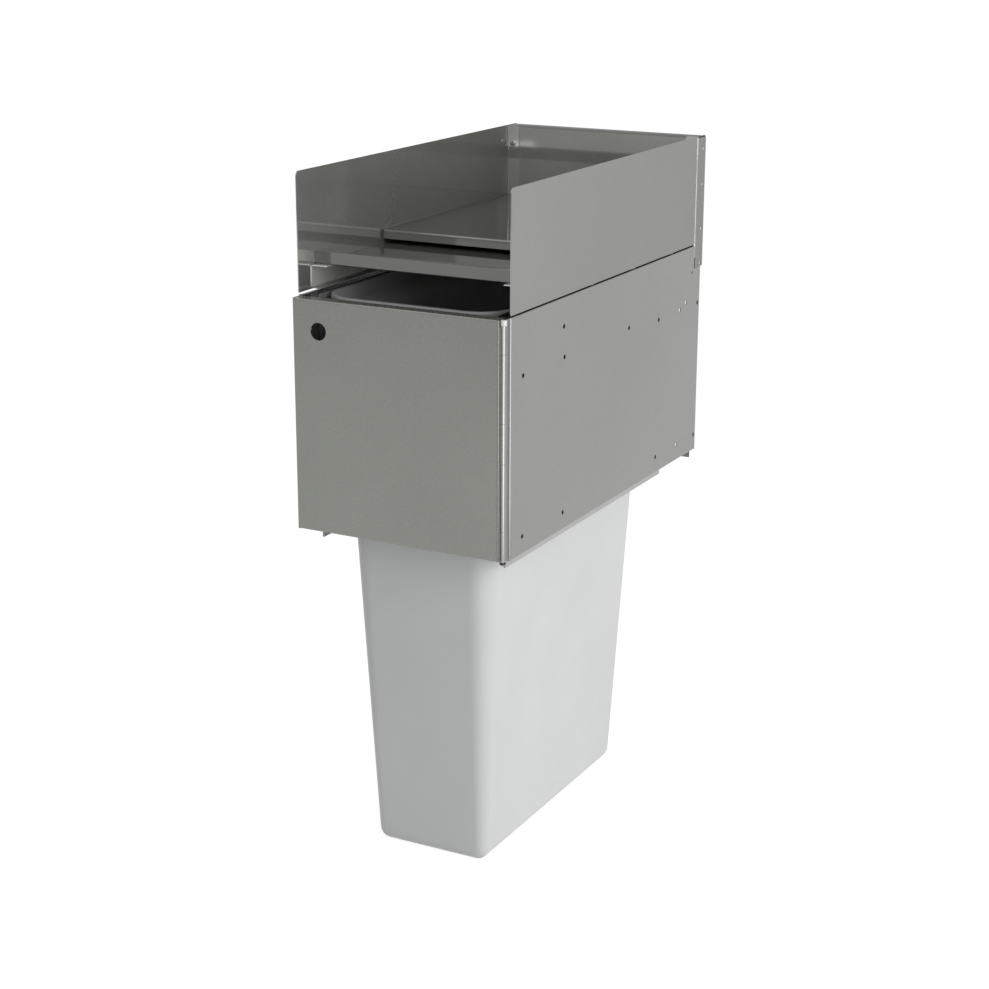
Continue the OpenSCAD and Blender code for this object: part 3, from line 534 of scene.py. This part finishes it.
def bin_rings(shape):
    """Rings from the floor inside the bin, over the rim and down to the underside."""
    s = shape.sizes
    wall, foot = s.wall, s.foot
    height = shape.height
    inner_foot = foot - wall
    inside = [shape.wall(height - wall, inset=wall + FLOOR_INSET * inner_foot)]
    for angle in quarter(FOOT_STEPS):
        inside.append(shape.wall(height - wall - inner_foot * (1 - math.cos(angle)),
                                 inset=wall + inner_foot * (1 - math.sin(angle))))
    inside += shape.wall_rings(wall, wall, height - foot * INNER_FOOT_ROOM)[::-1]
    lip = [shape.wall(wall * (1 - math.sin(angle)), inset=wall * (1 - LIP_LEAN * math.cos(angle)))
           for angle in map(math.radians, LIP_ANGLES)]
    over = [shape.rim(wall * (1 - math.cos(angle)), wall * (1 - math.sin(angle)))
            for angle in quarter(RIM_STEPS)]
    edge = SKIRT_EDGE
    skirt = [shape.rim(s.skirt - edge, 0.0), shape.rim(s.skirt, edge),
             shape.rim(s.skirt, wall - edge), shape.rim(s.skirt - edge, wall),
             shape.rim(wall + edge, wall)]
    under = [shape.wall(wall + edge, inset=0.0)]
    outside = shape.wall_rings(0.0, wall + 2 * edge, height - foot)
    for angle in quarter(FOOT_STEPS)[1:]:
        outside.append(shape.wall(height - foot * (1 - math.sin(angle)), inset=foot * (1 - math.cos(angle))))
    ring_in = foot + s.foot_ring
    outside += [shape.wall(height, inset=ring_in),
                shape.wall(height - s.base_rise, inset=ring_in + BASE_SLOPE)]
    return inside + lip + over + skirt + under + outside


class UNDERBAR_OT_bin(Operator):
    """Makes the moulded bin with its rolled rim and rounded foot"""

    bl_idname = "underbar.bin"
    bl_label = "Bin"

    def execute(self, context):
        finish = settings("underbar_finish")
        shape = BinShape(settings("underbar_bin"))
        under_rim = shape.top - shape.sizes.skirt
        # The zone is painted shade on the rim and the wall just below it
        plastic = moulded_plastic("bin_plastic", finish.plastic, finish.plastic_matt,
                                  zones=[("Z", under_rim - RIM_SHADE_DEPTH, under_rim, 1.0,
                                          finish.rim_painted_shade)])
        new_piece("moulded_bin", lofted("moulded_bin", bin_rings(shape)), plastic, "bin", "bin_plastic",
                  "bin")
        return {"FINISHED"}


# Sheet metal

# Where a sheet's painted light or shade changes near an edge: the change's depth and its length
GAP_BAND = (1.2 * MM, 0.8 * MM)
FLANGE_BAND = (1.6 * MM, 0.3 * MM)
TOP_EDGE_BAND = (0.4 * MM, 0.3 * MM)
RETURN_BAND = (3.0 * MM, 1.0 * MM)
DOOR_BEND_BAND = (2.6 * MM, 0.6 * MM)
DOOR_EDGE_BAND = (0.3 * MM, 0.2 * MM)
LIP_BAND = (1.0 * MM, 0.4 * MM)
FOOT_BAND = (2.0 * MM, 0.5 * MM)


class UNDERBAR_OT_sheets(Operator):
    """Gives the splashes, panels, deck, door and liners their stainless finishes, with painted light and
    shade on some faces and edges
    """

    bl_idname = "underbar.sheets"
    bl_label = "Stainless sheets"

    def execute(self, context):
        finish = settings("underbar_finish")
        self.finish_splashes(finish)
        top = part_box("right_side_panel")[1][2]
        finish_nodes(PANELS, lambda name, grain: brushed_steel(
            f"satin_{name}", finish.steel, finish.satin, grain,
            zones=[to_high_edge("Z", top, GAP_BAND, finish.gap_shade)]))
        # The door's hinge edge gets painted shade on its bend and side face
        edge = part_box("door_skin")[1][0]
        finish_nodes(DOOR_SHEETS, lambda name, grain: brushed_steel(
            f"satin_{name}", finish.door, finish.door_satin, grain, contrast=DOOR_CONTRAST,
            zones=[to_high_edge("X", edge, DOOR_BEND_BAND, finish.door_bend_painted_shade),
                   to_high_edge("X", edge, DOOR_EDGE_BAND, finish.door_edge_painted_shade)]))
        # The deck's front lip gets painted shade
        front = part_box("deck_pan")[0][1]
        finish_nodes({"deck_pan": "X"}, lambda name, grain: brushed_steel(
            f"polished_{name}", finish.deck, finish.deck_satin, grain, contrast=DECK_CONTRAST,
            zones=[to_low_edge("Y", front, LIP_BAND, finish.lip_painted_shade)]))
        # The shelf's front lip gets painted light
        shelf_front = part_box("raised_shelf")[0][1]
        finish_nodes({"raised_shelf": "X"}, lambda name, grain: brushed_steel(
            f"polished_{name}", [finish.shelf_tone * c for c in finish.deck], finish.deck_satin, grain,
            contrast=DECK_CONTRAST, edge_tint=finish.shelf_tint,
            zones=[to_low_edge("Y", shelf_front, LIP_BAND, finish.shelf_lip_painted_light)]))
        finish_nodes(INNER_SHEETS, lambda name, grain: brushed_steel(
            f"mill_{name}", finish.inner, finish.mill, grain, metal=finish.mill_metal))
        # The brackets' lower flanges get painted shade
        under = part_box("left_deck_bracket")[0][2]
        finish_nodes(DECK_BRACKETS, lambda name, grain: brushed_steel(
            f"mill_{name}", [finish.bracket_tone * c for c in finish.inner], finish.mill, grain,
            metal=finish.mill_metal, zones=[to_low_edge("Z", under, FOOT_BAND, finish.bracket_foot_painted_shade)]))
        return {"FINISHED"}

    def finish_splashes(self, finish):
        """Satin outer faces, and polished inner ones with painted light that show the deck and each other.
        """
        low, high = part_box("left_splash")
        # The inner faces' tone is painted light
        polish = (finish.inner_painted_light, finish.polish, finish.polish_metal)
        # Painted light on the rear flanges
        flange = to_high_edge("Y", high[1], FLANGE_BAND, finish.flange_painted_light)
        zones = {"right_splash": [flange],
                 # Painted light at the left splash's front, fading to painted shade at its rear
                 "left_splash": [("Y", low[1], high[1], finish.left_front_painted_light, finish.left_rear_painted_shade), flange,
                                 # Painted shade on the left splash's top edge
                                 to_high_edge("Z", high[2], TOP_EDGE_BAND, finish.top_edge_painted_shade)]}
        finish_nodes({"right_splash": "Y", "left_splash": "Y"}, lambda name, grain: brushed_steel(
            f"satin_{name}", finish.splash, finish.satin, grain, bump=POLISHED_BUMP,
            edge_tint=finish.edge_tint, polish=polish, zones=zones[name]))
        # The back splash's inner faces get a share of the painted light
        polish = (finish.back_painted_light_share * finish.inner_painted_light, finish.polish, finish.back_metal)
        # The top return of the back splash gets painted shade
        finish_nodes({"back_splash": "X"}, lambda name, grain: brushed_steel(
            f"satin_{name}", [finish.back_tone * c for c in finish.splash], finish.satin, grain,
            bump=POLISHED_BUMP, edge_tint=finish.back_gloss, gloss=finish.back_gloss, polish=polish,
            zones=[to_high_edge("Z", high[2], RETURN_BAND, finish.return_painted_shade)]))


# Small pieces: the name, colour, roughness and contrast of their plastic or rubber

CAP_PLASTIC = ("cap_plastic", (0.90, 0.90, 0.89), 0.3)
WASHER_PLASTIC = ("washer_plastic", (0.015, 0.015, 0.015), 0.4)
CATCH_PIECES = {"catch_case": ("catch_plastic", (0.02, 0.02, 0.02), 0.45, 0.02),
                "catch_magnet": ("ferrite", (0.03, 0.03, 0.032), 0.6, 0.15),
                "door_bumpers": ("bumper_rubber", (0.02, 0.02, 0.02), 0.7, 0.1)}


class UNDERBAR_OT_hinge(Operator):
    """Finishes the piano hinge and its pin, and makes its cap"""

    bl_idname = "underbar.hinge"
    bl_label = "Hinge"

    cap_round: length("Cap rounding", "Radius of the cap's upper edge", 1.6 * MM)
    cap_edge: length("Cap chamfer", "Size of the chamfer on the cap's lower edge", 0.3 * MM)
    knuckle: length("Knuckle", "Distance from the pin's axis to the knuckles' rear", 2.6 * MM)

    def execute(self, context):
        finish = settings("underbar_finish")
        low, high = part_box("hinge_top_cap")
        radius, centre = (high[0] - low[0]) / 2, (low + high) / 2
        panel_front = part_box("right_side_panel")[0][1]
        finish_nodes(HINGE_STEEL, lambda name, grain: brushed_steel(
            f"bright_{name}", finish.hinge, finish.hinge_rough, grain, metal=finish.hinge_metal,
            zones=[("Y", centre[1] + self.knuckle, panel_front, 1.0, finish.leaf_shade)]))
        edge = self.cap_edge
        profile = [(0, low[2]), (radius - edge, low[2]), (radius, low[2] + edge)]
        for angle in quarter(FOOT_STEPS):
            profile.append((radius - self.cap_round * (1 - math.cos(angle)),
                            high[2] - self.cap_round * (1 - math.sin(angle))))
        profile.append((0, high[2]))
        new_piece("hinge_cap", turned("hinge_cap", profile, centre), moulded_plastic(*CAP_PLASTIC),
                  "cabinet", "white_plastic", "hinge_top_cap")
        finish_nodes({"hinge_bottom_washer": "Z"}, lambda name, grain: moulded_plastic(*WASHER_PLASTIC))
        return {"FINISHED"}


class UNDERBAR_OT_catch(Operator):
    """Finishes the magnetic catch and the rubber bumpers"""

    bl_idname = "underbar.catch"
    bl_label = "Catch and bumpers"

    def execute(self, context):
        finish_nodes(CATCH_PIECES, lambda name, look: moulded_plastic(*look))
        return {"FINISHED"}


# Fasteners, placed by geometry nodes

BALL_RINGS = 16
ROD_SIDES = 24


class FastenerTree:
    """A geometry tree with named inputs that sets one fastener on each point of a mesh."""

    def __init__(self, name, inputs):
        self.tree = bpy.data.node_groups.new(name, "GeometryNodeTree")
        face = self.tree.interface
        face.new_socket("Geometry", in_out="INPUT", socket_type="NodeSocketGeometry")
        for label, kind in inputs:
            face.new_socket(label, in_out="INPUT", socket_type=kind)
        face.new_socket("Geometry", in_out="OUTPUT", socket_type="NodeSocketGeometry")
        self.given = self.node("NodeGroupInput")
        self.result = self.node("NodeGroupOutput")

    def node(self, kind, **values):
        """A new node with some of its properties set."""
        made = self.tree.nodes.new(kind)
        for key, value in values.items():
            setattr(made, key, value)
        return made

    def link(self, source, target):
        """Joins two sockets."""
        self.tree.links.new(source, target)

    def fed(self, made, *values):
        """The first output of a node that is fed with numbers or links."""
        for socket, value in zip(made.inputs, values):
            if isinstance(value, (int, float)):
                socket.default_value = value
            else:
                self.link(value, socket)
        return made.outputs[0]

    def maths(self, operation, first, second):
        """The result of a sum on two numbers or links."""
        return self.fed(self.node("ShaderNodeMath", operation=operation), first, second)

    def vector(self, x=0.0, y=0.0, z=0.0):
        """A vector of three numbers or links."""
        return self.fed(self.node("ShaderNodeCombineXYZ"), x, y, z)

    def dome(self, diameter, height):
        """The upper half of a flattened ball, closed below."""
        radius = self.maths("DIVIDE", diameter, 2.0)
        ball = self.node("GeometryNodeMeshUVSphere")
        self.link(self.given.outputs["Segments"], ball.inputs["Segments"])
        ball.inputs["Rings"].default_value = BALL_RINGS
        self.link(radius, ball.inputs["Radius"])
        where = self.node("GeometryNodeInputPosition")
        parts = self.node("ShaderNodeSeparateXYZ")
        self.link(where.outputs[0], parts.inputs[0])
        upper = self.maths("MAXIMUM", parts.outputs[2], 0.0)
        lifted = self.maths("MULTIPLY", upper, self.maths("DIVIDE", height, radius))
        move = self.node("GeometryNodeSetPosition")
        self.link(ball.outputs["Mesh"], move.inputs["Geometry"])
        self.link(self.vector(parts.outputs[0], parts.outputs[1], lifted), move.inputs["Position"])
        return move.outputs["Geometry"]

    def raised(self, solid, centre_z):
        """A solid moved along the axis."""
        move = self.node("GeometryNodeTransform")
        self.link(solid.outputs["Mesh"], move.inputs["Geometry"])
        self.link(self.vector(z=centre_z), move.inputs["Translation"])
        return move.outputs["Geometry"]

    def shank(self):
        """A round rod from the origin down the axis."""
        given = self.given.outputs
        rod = self.node("GeometryNodeMeshCylinder")
        rod.inputs["Vertices"].default_value = ROD_SIDES
        self.link(self.maths("DIVIDE", given["Shank Diameter"], 2.0), rod.inputs["Radius"])
        self.link(given["Shank Length"], rod.inputs["Depth"])
        return self.raised(rod, self.maths("DIVIDE", given["Shank Length"], -2.0))

    def block(self, x, y, z, centre_z):
        """A block whose centre is on the axis."""
        block = self.node("GeometryNodeMeshCube")
        self.link(self.vector(x, y, z), block.inputs["Size"])
        return self.raised(block, centre_z)

    def joined(self, *parts):
        """Solids joined into one, in their order."""
        join = self.node("GeometryNodeJoinGeometry")
        for part in parts[::-1]:
            self.link(part, join.inputs[0])
        return join.outputs[0]

    def set_on_points(self, fastener):
        """Ends the tree: one instance on each point, turned, realised, smoothed and given its material."""
        given = self.given.outputs
        smooth = self.node("GeometryNodeSetShadeSmooth")
        self.link(fastener, smooth.inputs["Geometry"])
        place = self.node("GeometryNodeInstanceOnPoints")
        self.link(given["Geometry"], place.inputs["Points"])
        self.link(smooth.outputs["Geometry"], place.inputs["Instance"])
        turn = self.node("FunctionNodeEulerToRotation")
        self.link(given["Turn"], turn.inputs[0])
        self.link(turn.outputs[0], place.inputs["Rotation"])
        real = self.node("GeometryNodeRealizeInstances")
        self.link(place.outputs["Instances"], real.inputs["Geometry"])
        coat = self.node("GeometryNodeSetMaterial")
        self.link(real.outputs["Geometry"], coat.inputs["Geometry"])
        self.link(given["Material"], coat.inputs["Material"])
        self.link(coat.outputs["Geometry"], self.result.inputs[0])
        return self.tree


FASTENER_COLOUR, FASTENER_ROUGH, FASTENER_CONTRAST = (0.45, 0.45, 0.44), 0.24, 0.04
COMMON_INPUTS = [("Head Diameter", "NodeSocketFloat"), ("Head Height", "NodeSocketFloat"),
                 ("Shank Diameter", "NodeSocketFloat"), ("Shank Length", "NodeSocketFloat"),
                 ("Segments", "NodeSocketInt"), ("Turn", "NodeSocketVector"),
                 ("Material", "NodeSocketMaterial")]


def screw_tree():
    """A dome-headed screw with a cross recess, pointing along -Z."""
    work = FastenerTree("dome_screws", COMMON_INPUTS + [("Recess", "NodeSocketFloat"),
                                                        ("Recess Width", "NodeSocketFloat")])
    given = work.given.outputs
    head = work.dome(given["Head Diameter"], given["Head Height"])
    deep = given["Head Height"]
    cutters = [work.block(given["Recess"], given["Recess Width"], deep, deep),
               work.block(given["Recess Width"], given["Recess"], deep, deep)]
    cutting = work.node("GeometryNodeMeshBoolean", operation="DIFFERENCE")
    work.link(head, cutting.inputs["Mesh 1"])
    for cutter in cutters:
        work.link(cutter, cutting.inputs["Mesh 2"])
    return work.set_on_points(work.joined(cutting.outputs["Mesh"], work.shank()))


def rivet_tree():
    """A rivet with a domed head, pointing along -Z."""
    work = FastenerTree("dome_rivets", COMMON_INPUTS)
    given = work.given.outputs
    head = work.dome(given["Head Diameter"], given["Head Height"])
    return work.set_on_points(work.joined(head, work.shank()))


def set_fasteners(name, tree, points, values, body, slot, replaced):
    """Runs a tree on points and keeps its result as a plain piece."""
    mesh = bpy.data.meshes.new(f"{name}_points")
    mesh.from_pydata([tuple(p) for p in points], [], [])
    holder = bpy.data.objects.new(f"{name}_points", mesh)
    bpy.context.collection.objects.link(holder)
    modifier = holder.modifiers.new(name, "NODES")
    modifier.node_group = tree
    for item in tree.interface.items_tree:
        if item.in_out == "INPUT" and item.name in values:
            modifier[item.identifier] = values[item.name]
    graph = bpy.context.evaluated_depsgraph_get()
    made = bpy.data.meshes.new_from_object(holder.evaluated_get(graph))
    made.name = name
    holder.modifiers.remove(modifier)
    bpy.data.objects.remove(holder)
    return new_piece(name, made, None, body, slot, *replaced)


class UNDERBAR_OT_fasteners(Operator):
    """Sets the screws of the splashes and brackets and the rivets of the liners and strike"""

    bl_idname = "underbar.fasteners"
    bl_label = "Screws and rivets"

    def execute(self, context):
        sizes = settings("underbar_fasteners")
        bright = brushed_steel("fastener_steel", FASTENER_COLOUR, FASTENER_ROUGH, "Z",
                               contrast=FASTENER_CONTRAST)
        screws, rivets = screw_tree(), rivet_tree()
        screw = {"Head Diameter": sizes.screw_head, "Head Height": sizes.screw_height,
                 "Shank Diameter": sizes.screw_shank, "Shank Length": sizes.screw_length,
                 "Segments": sizes.segments, "Material": bright, "Recess": sizes.recess,
                 "Recess Width": sizes.recess_width}
        rivet = {"Head Diameter": sizes.rivet_head, "Head Height": sizes.rivet_height,
                 "Shank Diameter": sizes.rivet_shank, "Segments": sizes.segments, "Material": bright}
        head = sizes.screw_head / 2

        low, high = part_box("splash_screws")
        places = [(x, low[1] + sizes.screw_height, z) for x in (low[0] + head, high[0] - head)
                  for z in (low[2] + head, high[2] - head)]
        set_fasteners("splash_screw_set", screws, places, {**screw, "Turn": (math.radians(90), 0.0, 0.0)},
                      "cabinet", "stainless", ["splash_screws"])

        low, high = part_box("bracket_screws")
        places = [(x, y, high[2] - sizes.screw_height) for x in (low[0] + head, high[0] - head)
                  for y in (low[1] + head, (low[1] + high[1]) / 2, high[1] - head)]
        set_fasteners("bracket_screw_set", screws, places, {**screw, "Turn": (0.0, 0.0, 0.0)},
                      "cabinet", "stainless", ["bracket_screws"])

        head = sizes.rivet_head / 2
        low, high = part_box("liner_rivets")
        y = (low[1] + high[1]) / 2
        heights = (low[2] + head, (low[2] + high[2]) / 2, high[2] - head)
        inner = high[0] - sizes.liner_grip - sizes.rivet_height
        for side, label in ((1, "right"), (-1, "left")):
            places = [(side * inner, y, z) for z in heights]
            turn = (0.0, math.radians(-90 * side), 0.0)
            replaced = ["liner_rivets"] if side == 1 else []
            set_fasteners(f"{label}_liner_rivet_set", rivets, places,
                          {**rivet, "Shank Length": sizes.liner_grip + sizes.rivet_height, "Turn": turn},
                          "cabinet", "stainless", replaced)

        low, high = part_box("strike_rivets")
        x = (low[0] + high[0]) / 2
        places = [(x, low[1] + sizes.rivet_height, z) for z in (low[2] + head, high[2] - head)]
        set_fasteners("strike_rivet_set", rivets, places,
                      {**rivet, "Shank Length": sizes.strike_grip, "Turn": (math.radians(90), 0.0, 0.0)},
                      "door", "stainless", ["strike_rivets"])
        return {"FINISHED"}


# Stage

FLOOR_SIZE = 60.0
CARD_LEFT, CARD_RIGHT, CARD_HEIGHT = (-4.8, -4.2), (-1.3, -5.8), 1.4
# Each lamp's place, target, width and height
KEY_LAMP = ((3.6, 0.4, 0.9), (0.0, -0.3, -0.2), (2.6, 2.6))
CORNER_LAMP = ((3.6, -1.9, 1.0), (0.0, -0.3, -0.2), (3.0, 3.0))
STRIP_LAMP = ((1.35, -1.35, -0.42), (0.15, -0.35, -0.42), (1.7, 0.62))


def stage_plane(name, corners):
    """A plane of the studio, with an empty material of its own."""
    mesh = bpy.data.meshes.new(name)
    mesh.from_pydata(corners, [], [(0, 1, 2, 3)])
    plane = bpy.data.objects.new(name, mesh)
    bpy.context.collection.objects.link(plane)
    material = bpy.data.materials.new(name)
    material.use_nodes = True
    material.node_tree.nodes.clear()
    mesh.materials.append(material)
    return plane, material.node_tree


def seen_directly(tree):
    """One for rays from the camera, a gloss or a glass, and nothing for the rest."""
    path = tree.nodes.new("ShaderNodeLightPath")
    total = path.outputs["Is Camera Ray"]
    for name in ("Is Glossy Ray", "Is Transmission Ray"):
        node = tree.nodes.new("ShaderNodeMath")
        node.operation = "MAXIMUM"
        tree.links.new(total, node.inputs[0])
        tree.links.new(path.outputs[name], node.inputs[1])
        total = node.outputs["Value"]
    return total


def white_world(stage):
    """A world that looks white and lights the unit more gently."""
    world = bpy.data.worlds.new("studio")
    world.use_nodes = True
    tree = world.node_tree
    background = tree.nodes["Background"]
    background.inputs["Color"].default_value = (1, 1, 1, 1)
    strength = spread(tree, seen_directly(tree), stage.fill, 1.0, 0.0, 1.0)
    tree.links.new(strength, background.inputs["Strength"])
    bpy.context.scene.world = world


def pale_floor(stage):
    """A white floor that keeps the unit's shadow."""
    half = FLOOR_SIZE / 2
    floor, tree = stage_plane("floor", [(-half, -half, FLOOR_Z), (half, -half, FLOOR_Z),
                                        (half, half, FLOOR_Z), (-half, half, FLOOR_Z)])
    glow = tree.nodes.new("ShaderNodeEmission")
    glow.inputs["Strength"].default_value = stage.floor_glow
    shaded = tree.nodes.new("ShaderNodeBsdfDiffuse")
    shaded.inputs["Color"].default_value = (*[stage.floor_shade] * 3, 1)
    bounce = tree.nodes.new("ShaderNodeBsdfDiffuse")
    bounce.inputs["Color"].default_value = (*[stage.floor_bounce] * 3, 1)
    both = tree.nodes.new("ShaderNodeAddShader")
    pick = tree.nodes.new("ShaderNodeMixShader")
    output = tree.nodes.new("ShaderNodeOutputMaterial")
    tree.links.new(glow.outputs[0], both.inputs[0])
    tree.links.new(shaded.outputs[0], both.inputs[1])
    tree.links.new(seen_directly(tree), pick.inputs[0])
    tree.links.new(bounce.outputs[0], pick.inputs[1])
    tree.links.new(both.outputs[0], pick.inputs[2])
    tree.links.new(pick.outputs[0], output.inputs["Surface"])


def far_card(stage):
    """A grey card far off at the front left, seen only in the polished steel."""
    left, right = Vector((*CARD_LEFT, FLOOR_Z)), Vector((*CARD_RIGHT, FLOOR_Z))
    rise = Vector((0.0, 0.0, CARD_HEIGHT))
    card, tree = stage_plane("far_card", [left, right, right + rise, left + rise])
    grey = tree.nodes.new("ShaderNodeEmission")
    grey.inputs["Strength"].default_value = stage.card
    output = tree.nodes.new("ShaderNodeOutputMaterial")
    tree.links.new(grey.outputs[0], output.inputs["Surface"])
    for ray in ("camera", "diffuse", "transmission", "shadow"):
        setattr(card, f"visible_{ray}", False)


def area_lamp(name, place, target, size, power):
    """A soft rectangular lamp."""
    data = bpy.data.lights.new(name, "AREA")
    data.shape = "RECTANGLE"
    data.size, data.size_y = size
    data.energy = power
    lamp = bpy.data.objects.new(name, data)
    lamp.location = place
    lamp.rotation_euler = (Vector(target) - Vector(place)).to_track_quat("-Z", "Y").to_euler()
    lamp.visible_camera = False
    bpy.context.collection.objects.link(lamp)
    return lamp


def picture_camera():
    """The camera at the photograph's place."""
    back = Vector((math.sin(CAMERA_AZIMUTH) * math.cos(CAMERA_ELEVATION),
                   -math.cos(CAMERA_AZIMUTH) * math.cos(CAMERA_ELEVATION), math.sin(CAMERA_ELEVATION)))
    level = Vector((0, 0, 1)).cross(back).normalized()
    upright = back.cross(level)
    right = level * math.cos(CAMERA_ROLL) + upright * math.sin(CAMERA_ROLL)
    up = upright * math.cos(CAMERA_ROLL) - level * math.sin(CAMERA_ROLL)
    data = bpy.data.cameras.new("picture_camera")
    data.lens = CAMERA_LENS
    data.sensor_width = SENSOR_WIDTH
    data.clip_end = CAMERA_REACH
    camera = bpy.data.objects.new("picture_camera", data)
    turn = Matrix((right, up, back)).transposed().to_4x4()
    camera.matrix_world = Matrix.Translation(CAMERA_AT) @ turn
    bpy.context.collection.objects.link(camera)
    bpy.context.scene.camera = camera


class UNDERBAR_OT_stage(Operator):
    """Makes the white studio, its soft lamps and the camera"""

    bl_idname = "underbar.stage"
    bl_label = "Stage"

    def execute(self, context):
        stage = settings("underbar_stage")
        context.scene.view_settings.view_transform = "Standard"
        picture_camera()
        white_world(stage)
        pale_floor(stage)
        far_card(stage)
        area_lamp("key_lamp", *KEY_LAMP, stage.key)
        area_lamp("corner_lamp", *CORNER_LAMP, stage.corner)
        strip = area_lamp("strip_lamp", *STRIP_LAMP, stage.strip)
        strip.visible_diffuse = False
        return {"FINISHED"}


class UNDERBAR_PT_panel(Panel):
    """Lists the unit's pieces and their settings"""

    bl_idname = "UNDERBAR_PT_panel"
    bl_label = "Underbar waste unit"
    bl_space_type = "VIEW_3D"
    bl_region_type = "UI"
    bl_category = "Underbar"

    def draw(self, context):
        layout = self.layout
        for operator in OPERATORS:
            layout.operator(operator.bl_idname)
        for name, _ in GROUPS:
            group = getattr(context.scene, name)
            box = layout.box()
            for key in group.__annotations__:
                box.prop(group, key)


GROUPS = [("underbar_finish", UnderbarFinish), ("underbar_bin", UnderbarBin),
          ("underbar_fasteners", UnderbarFasteners), ("underbar_stage", UnderbarStage)]
OPERATORS = [UNDERBAR_OT_stage, UNDERBAR_OT_sheets, UNDERBAR_OT_hinge, UNDERBAR_OT_catch,
             UNDERBAR_OT_fasteners, UNDERBAR_OT_bin]


def register():
    """Registers the groups, operators and panel."""
    for name, group in GROUPS:
        bpy.utils.register_class(group)
        setattr(bpy.types.Scene, name, PointerProperty(type=group))
    for operator in OPERATORS:
        bpy.utils.register_class(operator)
    bpy.utils.register_class(UNDERBAR_PT_panel)


def unregister():
    """Removes what register added."""
    bpy.utils.unregister_class(UNDERBAR_PT_panel)
    for operator in OPERATORS[::-1]:
        bpy.utils.unregister_class(operator)
    for name, group in GROUPS[::-1]:
        delattr(bpy.types.Scene, name)
        bpy.utils.unregister_class(group)


def main():
    """Makes the stage and every piece."""
    register()
    bpy.ops.underbar.stage()
    bpy.ops.underbar.sheets()
    bpy.ops.underbar.hinge()
    bpy.ops.underbar.catch()
    bpy.ops.underbar.fasteners()
    bpy.ops.underbar.bin()


if __name__ == "__main__":
    main()
